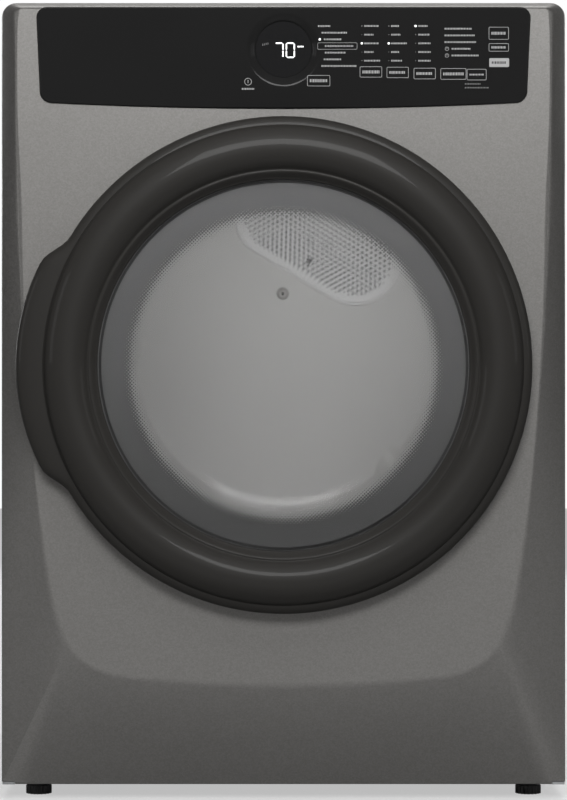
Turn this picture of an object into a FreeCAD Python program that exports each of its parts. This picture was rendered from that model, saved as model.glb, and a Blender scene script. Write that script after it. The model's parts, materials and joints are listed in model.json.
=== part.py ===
import FreeCAD, Part
import math
import os
from FreeCAD import Vector

# Front-loading clothes dryer. Millimetres, +Z up, the front faces -Y and X 0 is the middle.
# The origin is the middle of the footprint, on the floor.

# Cabinet
cabinet_width = 686.0
cabinet_height = 968.0
half_width = cabinet_width / 2
base_z = 17.0                # underside of the base pan, on top of the feet
corner_radius = 18.0         # top corners, seen from the front
sheet = 1.0                  # cabinet sheet steel
front_sheet = 1.2            # front panel steel
face_y = -358.0              # raised middle face of the front panel
edge_y = -336.0              # outer edges of the front panel
seam_y = -326.0              # seam between the front panel and the sides
rear_y = 378.0               # outside of the rear panel
flange = 12.0
rear_flange_y = rear_y - sheet

# Raised face: its crease, from the top corner to the middle of the bottom, as (x, z)
crease_top_x = 324.8
crease_top_z = 961.0
crease_corner_radius = 8.0
crease = [(324.8, 953.0), (323.6, 813.0), (312.7, 529.0), (294.8, 327.0),
          (279.5, 232.0), (246.0, 170.0), (177.0, 147.0), (0.0, 138.3)]
crease_turn = (262.0, 188.0)  # where the side of the crease turns into its bottom
side_steps = 10
bottom_steps = 8

# Door
door_z = 528.0
ring_radius = 300.0
ring_front_y = -406.5
ring_rear_y = -361.0
door_screw_circle = 268.0
door_back_y = -359.5
glass_radius = 230.0
window_radius = 224.0
glass_front_y = -388.0
glass_thickness = 4.0
bowl_rear_y = -319.0
grip_radius = 257.0          # outline of the grip bulge
grip_x = -66.0
grip_half_height = 128.0
grip_front_y = -391.0
grip_rear_y = -372.0

# Door hinge, on a vertical axis behind the right of the ring
hinge_x = 288.0
hinge_y = -375.0
knuckle_radius = 5.0
pin_radius = 3.0
running_gap = 0.05
knuckle_low = 24.0           # knuckles of the cabinet leaf, above and below the door's middle
knuckle_high = 46.0

# Recess behind the door, and the loading opening
recess_radius = 288.0
recess_y = -350.0
neck_radius = 218.0
collar_radius = 215.0
collar_wall = 2.0

# Drum
drum_z = 590.0
drum_radius = 325.0
drum_wall = 1.0
drum_front_y = -288.0
drum_back_y = 292.0
plateau_radius = 318.0       # steps of both bulkheads that reach into the drum
front_wall_y = -297.0
front_plateau_y = -260.0
rear_wall_y = 300.0
rear_plateau_y = 262.0
seal_gap = 0.4
vane_angles = [-52.0, 68.0, 188.0]
vane_base_half = 38.0
vane_ridge_half = 12.0
vane_ridge_radius = 266.0

# Drum lamp, in the front bulkhead
lamp_x = 150.0
lamp_z = 790.0
lamp_radius = 16.0

# Rollers under the back of the drum
roller_radius = 37.7
roller_angle = 35.0
roller_shaft_radius = 6.0

# Air grille in the rear bulkhead: an outline stretched round five circles, as (x, z, radius).
# Its straight lower edge slants down to the right.
grille_corners = [(-16.5, 718.4, 46.0), (99.1, 664.2, 60.0), (124.0, 770.0, 35.0),
                  (60.0, 812.0, 35.0), (-27.5, 824.0, 35.0)]
grille_slant = -31.4
grille_middle = (48.0, 720.0)
grille_pitch = 14.4
grille_hole_radius = 4.2
grille_rows = range(-9, 12)
grille_columns = range(-10, 11)
grille_lip = 5.0             # how far the plate laps over the rear bulkhead
nozzle_x = -1.0
nozzle_z = 616.0

# Motor, blower and exhaust
motor_x = 150.0
motor_z = 140.0
motor_radius = 68.0
shaft_radius = 6.0
pulley_groove_radius = 12.6
wheel_radius = 74.0
blower_radius = 95.0
blower_front_y = -237.0
blower_rear_y = -163.0
inlet_radius = 58.0
exhaust_z = 105.0
exhaust_radius = 50.8        # collar outside the rear panel
exhaust_wall = 1.0
exhaust_end_y = 406.5
tube_radius = 48.0           # tube inside the cabinet

# Belt
belt_thickness = 3.0
belt_width = 9.0
belt_y = 40.0
belt_gap = 0.4
idler_x = 204.0
idler_z = 215.0
idler_radius = 25.0
arm_pivot_x = 225.0
arm_pivot_z = 80.0
axle_radius = 4.0
stud_radius = 5.0
spring_radius = 7.2
spring_wire = 1.3
spring_pitch = 1.9
spring_turns = 2
spring_steps = 10
spring_front_y = 45.2

# Lint filter and its duct
filter_half = 100.0
filter_y = (-314.0, -304.0)
filter_z = (155.0, 312.0)
duct_y = (-322.0, -298.0)
duct_wall = 2.5

# Control console
console_top_half = 298.5
console_low_half = 294.5
console_top_z = 960.5
console_low_z = 846.0
console_bow_z = 838.4
console_front_y = -361.0
dial_z = 910.0
dial_radius = 43.7
lens_radius = 34.0

# Levelling feet
foot_x = 301.0
foot_y = (-285.0, 325.0)
foot_radius = 15.8
foot_stem_radius = 5.0
foot_flutes = 20

# Service connections at the back
cord_hole_x = -200.0
cord_hole_z = 762.0
cord_hole_radius = 14.3
inlet_x = 240.0
inlet_z = 120.0
inlet_pin_radius = 13.4
inlet_end_y = 397.0


def save(name, shape):
    shape.exportStep("parts/" + name + ".step")
    print(name, len(shape.Solids), shape.isValid(), round(shape.Volume / 1000.0, 1))


def block(x0, x1, y0, y1, z0, z1):
    return Part.makeBox(x1 - x0, y1 - y0, z1 - z0, Vector(x0, y0, z0))


def rod(radius, y0, y1, x=0.0, z=0.0):
    return Part.makeCylinder(radius, y1 - y0, Vector(x, y0, z), Vector(0, 1, 0))


def post(radius, z0, z1, x, y):
    return Part.makeCylinder(radius, z1 - z0, Vector(x, y, z0))


def pipe(outer, inner, y0, y1, x=0.0, z=0.0):
    return rod(outer, y0, y1, x, z).cut(rod(inner, y0 - 1, y1 + 1, x, z))


def turned(profile, x=0.0, z=0.0):
    """A closed profile of (radius, y) points turned round an axis along Y."""
    points = [Vector(x + radius, y, z) for radius, y in profile]
    face = Part.Face(Part.makePolygon(points + points[:1]))
    return face.revolve(Vector(x, 0, z), Vector(0, 1, 0), 360)


def plate(points, y0, y1):
    """A closed outline of (x, z) points, from y0 to y1."""
    corners = [Vector(x, y0, z) for x, z in points]
    face = Part.Face(Part.makePolygon(corners + corners[:1]))
    return face.extrude(Vector(0, y1 - y0, 0))


def prism(points, z0, z1):
    """A closed outline of (x, y) points, from z0 to z1."""
    corners = [Vector(x, y, z0) for x, y in points]
    face = Part.Face(Part.makePolygon(corners + corners[:1]))
    return face.extrude(Vector(0, 0, z1 - z0))


def joined(shapes):
    return shapes[0].multiFuse(shapes[1:]).removeSplitter()


def mirrored(shape):
    return shape.mirror(Vector(0, 0, 0), Vector(1, 0, 0))


def tube_along(points, radius, bend):
    """A round bar along straight runs joined by tangent arcs."""
    points = [Vector(*point) for point in points]
    edges = []
    start = points[0]
    for before, corner, after in zip(points, points[1:], points[2:]):
        arriving = (corner - before).normalize()
        leaving = (after - corner).normalize()
        turn = arriving.getAngle(leaving)
        reach = bend * math.tan(turn / 2)
        inward = (leaving - arriving).normalize()
        centre = corner + inward * (bend / math.cos(turn / 2))
        bend_start = corner - arriving * reach
        bend_end = corner + leaving * reach
        edges.append(Part.LineSegment(start, bend_start).toShape())
        edges.append(Part.Arc(bend_start, centre - inward * bend, bend_end).toShape())
        start = bend_end
    edges.append(Part.LineSegment(start, points[-1]).toShape())
    section = Part.Wire(Part.makeCircle(radius, points[0], points[1] - points[0]))
    return Part.Wire(edges).makePipeShell([section], True, False)


def arc_points(x, z, radius, start, end, steps):
    """Points on an arc about (x, z), from one angle to another in degrees."""
    points = []
    for step in range(steps + 1):
        angle = math.radians(start + (end - start) * step / steps)
        points.append((x + radius * math.cos(angle), z + radius * math.sin(angle)))
    return points


def cabinet_outline(inset, bottom):
    """Front outline of the cabinet with its two rounded top corners."""
    radius = corner_radius - inset
    right = arc_points(half_width - corner_radius, cabinet_height - corner_radius, radius, 90, 0, 6)
    half = right + [(half_width - inset, bottom)]
    return half + [(-x, z) for x, z in reversed(half)]


def tangent_loop(stations, offset=0.0):
    """A closed line round circles (x, z, signed radius): arcs joined by their common tangents."""
    stations = [(x, z, radius + offset) for x, z, radius in stations]
    touches = [[None, None] for station in stations]
    for index, (x, z, radius) in enumerate(stations):
        following = (index + 1) % len(stations)
        next_x, next_z, next_radius = stations[following]
        apart = math.hypot(next_x - x, next_z - z)
        heading = math.atan2(next_z - z, next_x - x) - math.asin((next_radius - radius) / apart)
        left = (-math.sin(heading), math.cos(heading))
        touches[index][1] = (x - radius * left[0], z - radius * left[1])
        touches[following][0] = (next_x - next_radius * left[0], next_z - next_radius * left[1])
    edges = []
    for index, (x, z, radius) in enumerate(stations):
        arrive, leave = touches[index]
        start = math.atan2(arrive[1] - z, arrive[0] - x)
        end = math.atan2(leave[1] - z, leave[0] - x)
        if radius > 0 and end < start:
            end += 2 * math.pi
        if radius < 0 and end > start:
            end -= 2 * math.pi
        half = (start + end) / 2
        size = abs(radius)
        middle = Vector(x + size * math.cos(half), 0, z + size * math.sin(half))
        edges.append(Part.Arc(Vector(arrive[0], 0, arrive[1]), middle,
                              Vector(leave[0], 0, leave[1])).toShape())
        following = touches[(index + 1) % len(stations)][0]
        edges.append(Part.LineSegment(Vector(leave[0], 0, leave[1]),
                                      Vector(following[0], 0, following[1])).toShape())
    return Part.Wire(edges)


# ---------------------------------------------------------------- cabinet

def crease_points():
    """The crease below its top corner, evenly stepped down the side and along the bottom."""
    curve = Part.BSplineCurve()
    curve.interpolate([Vector(x, 0, z) for x, z in crease])
    turn = curve.parameter(Vector(crease_turn[0], 0, crease_turn[1]))
    first = curve.FirstParameter
    last = curve.LastParameter
    side = [curve.value(first + (turn - first) * k / side_steps) for k in range(side_steps + 1)]
    low = [curve.value(turn + (last - turn) * k / bottom_steps) for k in range(1, bottom_steps + 1)]
    return side, low


def front_form(inset):
    """The front panel's outer form: flat middle face, bands falling back, and a straight rim."""
    side, low = crease_points()
    face = arc_points(crease_top_x - crease_corner_radius, crease_top_z - crease_corner_radius,
                      crease_corner_radius - inset, 90, 0, 4)
    rim = arc_points(half_width - corner_radius, cabinet_height - corner_radius,
                     corner_radius - inset, 90, 0, 4)
    top = cabinet_height - corner_radius
    for step, point in enumerate(side[1:], 1):
        face.append((point.x - inset, point.z))
        rim.append((half_width - inset, top + (base_z + inset - top) * step / side_steps))
    for step, point in enumerate(low, 1):
        face.append((point.x, point.z + inset))
        rim.append(((half_width - inset) * (1 - step / bottom_steps), base_z + inset))
    sections = []
    for outline, y in [(face, face_y + inset), (rim, edge_y + inset), (rim, seam_y + inset)]:
        ring = outline + [(-x, z) for x, z in reversed(outline[:-1])]
        corners = [Vector(x, y, z) for x, z in ring]
        sections.append(Part.makePolygon(corners + corners[:1]))
    return Part.makeLoft(sections, True, True)


def front_panel():
    panel = front_form(0.0).cut(front_form(front_sheet))
    panel = panel.cut(block(-400, 400, seam_y, seam_y + 10, 0, 1000))
    panel = panel.cut(rod(recess_radius + 4, face_y - 5, seam_y, 0, door_z))
    recess = turned([(recess_radius + 6, face_y), (recess_radius, face_y), (recess_radius - 1, recess_y),
                     (neck_radius + 14, recess_y), (neck_radius, recess_y + 14), (neck_radius, -328),
                     (neck_radius + 1.2, -328), (neck_radius + 1.2, recess_y + 14.5),
                     (neck_radius + 14.5, recess_y + 1.2), (recess_radius + 0.2, recess_y + 1.2),
                     (recess_radius + 1.2, face_y + 1.2), (recess_radius + 6, face_y + 1.2)],
                    0, door_z)
    panel = joined([panel, recess])
    cutout = Part.Face(console_outline(4.0, face_y - 5)).extrude(Vector(0, 20, 0))
    panel = panel.cut(cutout)
    panel = panel.cut(block(-268.5, -255.5, -352, -345, door_z - 16, door_z + 16))
    panel = panel.cut(rod(4.2, -352, -345, -262, door_z + 62))
    for side in (-1, 1):
        x = side * (half_width - 7)
        panel = panel.cut(block(x - 10, x + 10, face_y - 2, seam_y + 1, base_z - 1, base_z + 3.5))
    return panel


def side_panel():
    """The right side: a flat sheet with inward flanges at the front and the back."""
    outline = [(half_width, seam_y + 0.5), (half_width, rear_flange_y),
               (half_width - flange, rear_flange_y),
               (half_width - flange, rear_flange_y - sheet), (half_width - sheet, rear_flange_y - sheet),
               (half_width - sheet, seam_y + 0.5 + sheet), (half_width - flange, seam_y + 0.5 + sheet),
               (half_width - flange, seam_y + 0.5)]
    return prism(outline, base_z + 3.3, cabinet_height - corner_radius - 2.5)


def top_panel():
    outer = plate(cabinet_outline(0.0, cabinet_height - corner_radius - 2), seam_y + 0.5, rear_flange_y)
    inner = plate(cabinet_outline(sheet, cabinet_height - corner_radius - 3), seam_y, rear_y)
    return outer.cut(inner)


def rear_panel():
    panel = plate(cabinet_outline(sheet + 0.5, base_z + 3), rear_flange_y, rear_y)
    panel = panel.cut(rod(exhaust_radius + 1.7, rear_y - 5, rear_y + 5, 0, exhaust_z))
    panel = panel.cut(rod(cord_hole_radius, rear_y - 5, rear_y + 5, cord_hole_x, cord_hole_z))
    panel = panel.cut(rod(inlet_pin_radius + 2, rear_y - 5, rear_y + 5, inlet_x, inlet_z))
    panel = panel.cut(block(-248, -152, rear_y - 5, rear_y + 5, 798, 892))
    slots = []
    for column in range(4):
        x = -290 + 75 * column
        for row in range(9):
            z = 250 + 13 * row
            slots.append(block(x, x + 60, rear_y - 5, rear_y + 5, z, z + 5))
    return panel.cut(Part.makeCompound(slots))


def base_pan():
    outer = block(-340, 340, seam_y + 2, rear_flange_y - 1, base_z, base_z + 24)
    pan = outer.cut(block(-338.5, 338.5, seam_y + 3.5, rear_flange_y - 2.5, base_z + 1.5, base_z + 30))
    pieces = [pan]
    for x in (-foot_x, foot_x):
        for y in foot_y:
            pieces.append(post(9, base_z, base_z + 28, x, y))
    for side in (-1, 1):
        x = side * (half_width - 8.5)
        pieces.append(block(x - 7.5, x + 7.5, -337, seam_y + 4, base_z, base_z + 3))
    pan = joined(pieces)
    for x in (-foot_x, foot_x):
        for y in foot_y:
            pan = pan.cut(post(foot_stem_radius + running_gap, base_z - 1, base_z + 30, x, y))
    return pan


def cabinet_screws():
    """Hexagon-washer screws round the rear panel."""
    screws = []
    places = [(x, 958) for x in (-280, -95, 95, 280)] + [(x, 26) for x in (-280, -120, 120, 280)]
    places += [(side * 334, z) for side in (-1, 1) for z in (180, 420, 660, 880)]
    for x, z in places:
        head = plate(arc_points(x, z, 4.2, 0, 300, 5), rear_y, rear_y + 3)
        screws.append(joined([rod(5.5, rear_y, rear_y + 0.8, x, z), head]))
    return Part.makeCompound(screws)


def levelling_foot(x, y):
    flutes = []
    for step in range(2 * foot_flutes):
        angle = math.pi * step / foot_flutes
        radius = foot_radius - 1.5 * (step % 2)
        flutes.append((x + radius * math.cos(angle), y + radius * math.sin(angle)))
    pad = prism(flutes, 0, 10)
    neck = Part.makeCone(12.5, 8.5, 7 - running_gap, Vector(x, y, 10))
    stem = post(foot_stem_radius, 15, base_z + 32, x, y)
    return joined([pad, neck, stem])


# ---------------------------------------------------------------- console

def console_outline(inset, y):
    """Outline of the control fascia: rounded corners, narrower and bowed at the bottom."""
    top = console_top_half - inset
    low = console_low_half - inset
    high_z = console_top_z - inset
    low_z = console_low_z + inset
    bow_z = console_bow_z + inset
    top_radius = 12.6
    low_radius = 14.0
    s = math.sin(math.radians(45))
    points = {
        "top": Vector(top - top_radius, y, high_z),
        "top_mid": Vector(top - top_radius * (1 - s), y, high_z - top_radius * (1 - s)),
        "side_high": Vector(top, y, high_z - top_radius),
        "side_low": Vector(low, y, low_z + low_radius),
        "low_mid": Vector(low - low_radius * (1 - s), y, low_z + low_radius * (1 - s) - 0.4),
        "low": Vector(low - low_radius, y, low_z - 0.8),
    }
    left = {name: Vector(-point.x, point.y, point.z) for name, point in points.items()}
    edges = [
        Part.LineSegment(left["top"], points["top"]),
        Part.Arc(points["top"], points["top_mid"], points["side_high"]),
        Part.LineSegment(points["side_high"], points["side_low"]),
        Part.Arc(points["side_low"], points["low_mid"], points["low"]),
        Part.Arc(points["low"], Vector(0, y, bow_z), left["low"]),
        Part.Arc(left["low"], left["low_mid"], left["side_low"]),
        Part.LineSegment(left["side_low"], left["side_high"]),
        Part.Arc(left["side_high"], left["top_mid"], left["top"]),
    ]
    return Part.Wire([edge.toShape() for edge in edges])


def console_slab(inset, y0, y1):
    return Part.Face(console_outline(inset, y0)).extrude(Vector(0, y1 - y0, 0))


def console_fascia():
    front = console_slab(0.0, console_front_y, face_y)
    wall = console_slab(4.5, face_y, face_y + 12).cut(console_slab(6.5, face_y - 1, face_y + 13))
    body = joined([front, wall]).cut(rod(dial_radius + 2, console_front_y - 1, face_y + 13, 0, dial_z))
    dish = turned([(dial_radius, console_front_y), (dial_radius + 2, console_front_y),
                   (dial_radius + 2, face_y + 6), (lens_radius, face_y + 6),
                   (lens_radius, console_front_y + 5)], 0, dial_z)
    return joined([body, dish])


def display_lens():
    return rod(lens_radius - 0.2, console_front_y + 5, face_y + 5, 0, dial_z)


def console_carrier():
    tray = block(-286, 286, face_y + 12, face_y + 28, 851, 951)
    tray = tray.cut(block(-283, 283, face_y + 11, face_y + 25, 854, 948))
    posts = [rod(4, face_y + 19, face_y + 25, x, z) for x in (-240, 0, 240) for z in (866, 936)]
    return joined([tray] + posts)


def interface_board():
    board = block(-268, 268, face_y + 17.4, face_y + 19, 858, 944)
    module = rod(30, face_y + 7, face_y + 17.4, 0, dial_z)
    chips = [block(x, x + 18, face_y + 15, face_y + 17.4, 880, 898) for x in (-220, -150, 90, 160, 220)]
    return joined([board, module] + chips)


def main_control_board():
    board = block(-330, -226, -270, -110, 900, 901.6)
    relays = [block(-322 + 26 * k, -304 + 26 * k, -262, -236, 901.6, 922) for k in range(4)]
    transformer = block(-320, -280, -180, -140, 901.6, 934)
    legs = [post(4, 892, 900, x, y) for x in (-324, -232) for y in (-264, -116)]
    return joined([board, transformer] + relays + legs)


# ---------------------------------------------------------------- door

def hinge_notch(rear_limit):
    """Room in the door round one cabinet knuckle and its web as the door swings."""
    notches = []
    for side in (-1, 1):
        middle = door_z + side * (knuckle_low + knuckle_high) / 2
        half = (knuckle_high - knuckle_low) / 2 + 2.5
        notches.append(block(258, ring_radius + 5, hinge_y - 2.8, rear_limit, middle - half, middle + half))
        notches.append(post(knuckle_radius + 1.5, middle - half, middle + half, hinge_x, hinge_y))
    return Part.makeCompound(notches)


def grip_outline():
    """The grip bulge: a wide arc that runs back into the round ring at both ends."""
    end = math.degrees(math.asin(grip_half_height / grip_radius))
    bulge = arc_points(grip_x, door_z, grip_radius, 180 - end, 180 + end, 16)
    ring_end = math.degrees(math.asin(172.0 / ring_radius))
    inner = arc_points(0, door_z, ring_radius - 6, 180 + ring_end, 180 - ring_end, 16)
    return bulge + inner


def door_ring():
    """The gloss front moulding: a rounded ring, open at the back, with the grip on its left."""
    skin = turned([(290.0, ring_rear_y), (297.5, -366.0), (ring_radius, -372.0), (ring_radius, -383.0),
                   (297.0, -389.0), (289.0, -391.5), (286.0, -394.5), (278.0, -401.5), (268.0, -405.4),
                   (260.0, ring_front_y), (250.0, -405.0), (240.0, -400.5), (231.0, -394.0),
                   (window_radius, glass_front_y - 2), (window_radius, glass_front_y),
                   (232.5, glass_front_y), (240.0, -394.0), (250.0, -400.5), (260.0, -402.5),
                   (268.0, -401.0), (277.0, -396.5), (284.0, -389.0), (293.0, -385.5), (296.0, -381.0),
                   (296.0, -373.0), (293.0, -368.0), (286.5, ring_rear_y)], 0, door_z)
    grip = plate(grip_outline(), grip_front_y, grip_rear_y)
    grip = grip.cut(rod(ring_radius - 5, ring_front_y, ring_rear_y, 0, door_z))
    return joined([skin, grip]).cut(hinge_notch(ring_rear_y + 5))


def outer_glass():
    return rod(glass_radius, glass_front_y, glass_front_y + glass_thickness, 0, door_z)


def inner_glass_bowl():
    return turned([(0, bowl_rear_y), (150, bowl_rear_y), (172, bowl_rear_y - 3), (187, bowl_rear_y - 12),
                   (200, -352), (206, -361.7), (219, -361.7), (219, -365.7), (203, -365.7), (196, -352),
                   (184, bowl_rear_y - 14), (170, bowl_rear_y - 7), (150, bowl_rear_y - 4),
                   (0, bowl_rear_y - 4)], 0, door_z)


def door_back_cover():
    """The back of the door, with the tube that holds the outer glass against the ring."""
    front_y = glass_front_y + glass_thickness
    cover = turned([(206.5, door_back_y), (289.5, door_back_y), (289.5, door_back_y - 1.5),
                    (222.5, door_back_y - 1.5), (222.5, front_y), (219.5, front_y),
                    (219.5, door_back_y - 2.0), (206.5, door_back_y - 2.0)], 0, door_z)
    return cover.cut(hinge_notch(door_back_y + 5))


def door_screws():
    screws = []
    for step in range(10):
        angle = math.radians(18 + 36 * step)
        x = door_screw_circle * math.cos(angle)
        z = door_z + door_screw_circle * math.sin(angle)
        screws.append(joined([rod(4, door_back_y, door_back_y + 1.6, x, z),
                              rod(1.8, door_back_y - 12, door_back_y, x, z)]))
    return Part.makeCompound(screws)


def screw_holes():
    holes = []
    for step in range(10):
        angle = math.radians(18 + 36 * step)
        x = door_screw_circle * math.cos(angle)
        z = door_z + door_screw_circle * math.sin(angle)
        holes.append(rod(1.8, door_back_y - 3, door_back_y + 1, x, z))
    return Part.makeCompound(holes)


def door_strike():
    plate_part = block(-274, -250, door_back_y - 3.5, door_back_y - 1.5, door_z - 14, door_z + 14)
    loop = block(-264, -260, door_back_y - 1.5, -336, door_z - 9, door_z + 9)
    return joined([plate_part, loop.cut(block(-266, -258, -348, -341, door_z - 5, door_z + 5))])


def strike_slot():
    return block(-264.2, -259.8, door_back_y - 2, door_back_y + 1, door_z - 9.2, door_z + 9.2)


def door_hinge_leaf():
    """The door's leaf: a plate inside the back cover and one knuckle on the pin."""
    low = door_z - knuckle_low + 0.4
    high = door_z + knuckle_low - 0.4
    barrel = post(knuckle_radius, low, high, hinge_x, hinge_y)
    web = prism([(hinge_x - 14, door_back_y - 1.5), (hinge_x - 5, door_back_y - 1.5),
                 (hinge_x + 1, hinge_y + 4.5), (hinge_x - 4.5, hinge_y)], low, high)
    leaf = block(236, hinge_x - 8, door_back_y - 3.5, door_back_y - 1.5, low, high)
    body = joined([barrel, web, leaf])
    return body.cut(post(pin_radius + running_gap, low - 1, high + 1, hinge_x, hinge_y))


def cabinet_hinge_leaf():
    """The cabinet's leaf on the recess floor, with two knuckles and the pin riveted in them."""
    shapes = [block(254, 276, recess_y - 2, recess_y, door_z - 56, door_z + 56)]
    for side in (-1, 1):
        z0 = min(side * knuckle_low, side * knuckle_high) + door_z
        z1 = z0 + knuckle_high - knuckle_low
        shapes.append(post(knuckle_radius, z0, z1, hinge_x, hinge_y))
        shapes.append(prism([(268, recess_y - 1), (276, recess_y - 1), (hinge_x + 1, hinge_y + 4.5),
                             (hinge_x - 4.5, hinge_y + 1)], z0, z1))
    shapes.append(post(pin_radius, door_z - knuckle_high - 1, door_z + knuckle_high + 1, hinge_x, hinge_y))
    return joined(shapes)


def door_gasket():
    return turned([(240, recess_y), (250, recess_y), (251, recess_y - 4), (248, recess_y - 8.8),
                   (242, recess_y - 8.8), (239, recess_y - 4)], 0, door_z)


def door_catch():
    body = block(-276, -248, recess_y + 1.4, -322, door_z - 26, door_z + 26)
    return body.cut(block(-267, -257, recess_y, -332, door_z - 12, door_z + 12))


def door_switch_body():
    z = door_z + 62
    body = block(-275, -249, recess_y + 1.4, -326, z - 14, z + 14)
    return body.cut(rod(3.55, recess_y, -330, -262, z))


def switch_plunger():
    return rod(3.5, door_back_y + 0.7, -334, -262, door_z + 62)


# ---------------------------------------------------------------- drum and bulkheads

def drum_shell():
    inner = drum_radius - drum_wall
    shell = pipe(drum_radius, inner, drum_front_y, drum_back_y, 0, drum_z)
    beads = [pipe(drum_radius + 2, inner + 0.3, y, y + 8, 0, drum_z) for y in (-200, -120, 120, 200)]
    return joined([shell] + beads)


def drum_vanes():
    vanes = []
    foot = math.sqrt((drum_radius - drum_wall) ** 2 - vane_base_half ** 2) - 0.1
    for angle in vane_angles:
        turn = math.radians(angle)
        section = []
        for reach, across in [(foot, -vane_base_half), (foot, vane_base_half),
                              (vane_ridge_radius + 14, vane_ridge_half + 6),
                              (vane_ridge_radius, vane_ridge_half - 6),
                              (vane_ridge_radius, 6 - vane_ridge_half),
                              (vane_ridge_radius + 14, -vane_ridge_half - 6)]:
            section.append((reach * math.cos(turn) - across * math.sin(turn),
                            drum_z + reach * math.sin(turn) + across * math.cos(turn)))
        vanes.append(plate(section, -248, 248))
    return Part.makeCompound(vanes)


def bulkhead_plate(y0, y1, bottom, top):
    wall = block(-338, 338, y0, y1, bottom, top)
    return wall.cut(rod(plateau_radius - 1.2, y0 - 1, y1 + 1, 0, drum_z))


def front_bulkhead():
    wall = bulkhead_plate(front_wall_y, front_wall_y + 1.2, 245, 935)
    step = pipe(plateau_radius, plateau_radius - 1.2, front_wall_y, front_plateau_y, 0, drum_z)
    face = rod(plateau_radius, front_plateau_y - 1.2, front_plateau_y, 0, drum_z)
    face = face.cut(rod(collar_radius, front_plateau_y - 2, front_plateau_y + 1, 0, door_z))
    collar = pipe(collar_radius + collar_wall, collar_radius, -329.5, front_plateau_y, 0, door_z)
    bulkhead = joined([wall, step, face, collar])
    openings = [block(-filter_half - 4, filter_half + 4, filter_y[0] - 2, filter_y[1] + 1.5, 295, 345)]
    for step in range(9):
        x = -88 + 22 * step
        openings.append(block(x - 4, x + 4, front_plateau_y - 3, front_plateau_y + 2, 291, 306))
    openings.append(rod(lamp_radius, front_plateau_y - 3, front_plateau_y + 2, lamp_x, lamp_z))
    return bulkhead.cut(Part.makeCompound(openings))


def rear_bulkhead():
    wall = bulkhead_plate(rear_wall_y, rear_wall_y + 1.2, 200, 935)
    step = pipe(plateau_radius, plateau_radius - 1.2, rear_plateau_y, rear_wall_y + 1.2, 0, drum_z)
    face = rod(plateau_radius, rear_plateau_y, rear_plateau_y + 1.2, 0, drum_z)
    bulkhead = joined([wall, step, face])
    bulkhead = bulkhead.cut(grille_slab(-3.0, rear_plateau_y - 1, rear_plateau_y + 3))
    bulkhead = bulkhead.cut(rod(7, rear_plateau_y - 1, rear_plateau_y + 3, nozzle_x, nozzle_z))
    for x, z in roller_places():
        bulkhead = bulkhead.cut(rod(roller_shaft_radius, rear_wall_y - 2, rear_wall_y + 3, x, z))
    return bulkhead


def drum_felt_seals():
    seals = []
    for y in (-286.0, 278.0):
        outer = drum_radius - drum_wall - seal_gap
        seals.append(pipe(outer, plateau_radius, y, y + 9, 0, drum_z))
    return Part.makeCompound(seals)


def drum_glides():
    """Two slippery pads at the top of the front bulkhead that the front of the drum hangs on."""
    pads = []
    for middle in (62.0, 118.0):
        outer = arc_points(0, drum_z, drum_radius - drum_wall - seal_gap, middle - 9, middle + 9, 8)
        inner = arc_points(0, drum_z, plateau_radius, middle + 9, middle - 9, 8)
        pads.append(plate(outer + inner, -275, -262).cut(rod(plateau_radius, -280, -250, 0, drum_z)))
    return Part.makeCompound(pads)


def grille_slab(offset, y0, y1):
    slab = Part.Face(tangent_loop(grille_corners, offset)).extrude(Vector(0, y1 - y0, 0))
    slab.translate(Vector(0, y0, 0))
    return slab


def inside_grille(x, z, margin):
    """True if a point lies inside every tangent edge of the grille's outline, by the margin."""
    for first, second in zip(grille_corners, grille_corners[1:] + grille_corners[:1]):
        apart = math.hypot(second[0] - first[0], second[1] - first[1])
        heading = math.atan2(second[1] - first[1], second[0] - first[0])
        heading -= math.asin((second[2] - first[2]) / apart)
        depth = (z - first[1]) * math.cos(heading) - (x - first[0]) * math.sin(heading) + first[2]
        if depth < margin:
            return False
    for corner_x, corner_z, radius in grille_corners[:2]:
        outside = x < grille_corners[0][0] if corner_x < 0 else x > grille_corners[1][0]
        if outside and z < corner_z and math.hypot(x - corner_x, z - corner_z) > radius - margin:
            return False
    return True


def air_grille():
    body = grille_slab(grille_lip, rear_plateau_y - 4, rear_plateau_y)
    turn = math.radians(grille_slant)
    holes = []
    for row in grille_rows:
        up = row * grille_pitch * math.sin(math.radians(60))
        for column in grille_columns:
            along = (column + 0.5 * (row % 2)) * grille_pitch
            x = grille_middle[0] + along * math.cos(turn) - up * math.sin(turn)
            z = grille_middle[1] + along * math.sin(turn) + up * math.cos(turn)
            if inside_grille(x, z, grille_hole_radius + 4):
                holes.append(rod(grille_hole_radius, rear_plateau_y - 5, rear_plateau_y + 1, x, z))
    return body.cut(Part.makeCompound(holes))


def steam_nozzle():
    profile = [(2, rear_plateau_y - 7), (5, rear_plateau_y - 7), (8.5, rear_plateau_y - 3),
               (8.5, rear_plateau_y), (7, rear_plateau_y), (7, rear_wall_y + 4), (4, rear_wall_y + 4),
               (4, rear_plateau_y), (2, rear_plateau_y - 2)]
    return turned(profile, nozzle_x, nozzle_z)


def steam_hose():
    route = [(nozzle_x, rear_wall_y + 4, nozzle_z), (nozzle_x, 336, nozzle_z), (nozzle_x, 336, 195),
             (inlet_x, 336, 195), (inlet_x, 336, inlet_z + 20)]
    return tube_along(route, 4.5, 22)


def water_inlet_valve():
    body = block(inlet_x - 18, inlet_x + 18, 322, rear_flange_y - 0.5, inlet_z - 16, inlet_z + 20)
    coil = rod(15, 296, 322, inlet_x, inlet_z)
    valve = joined([body, coil, rod(inlet_pin_radius, rear_flange_y - 1, inlet_end_y, inlet_x, inlet_z)])
    return valve.cut(rod(9, inlet_end_y - 16, inlet_end_y + 1, inlet_x, inlet_z))


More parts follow.
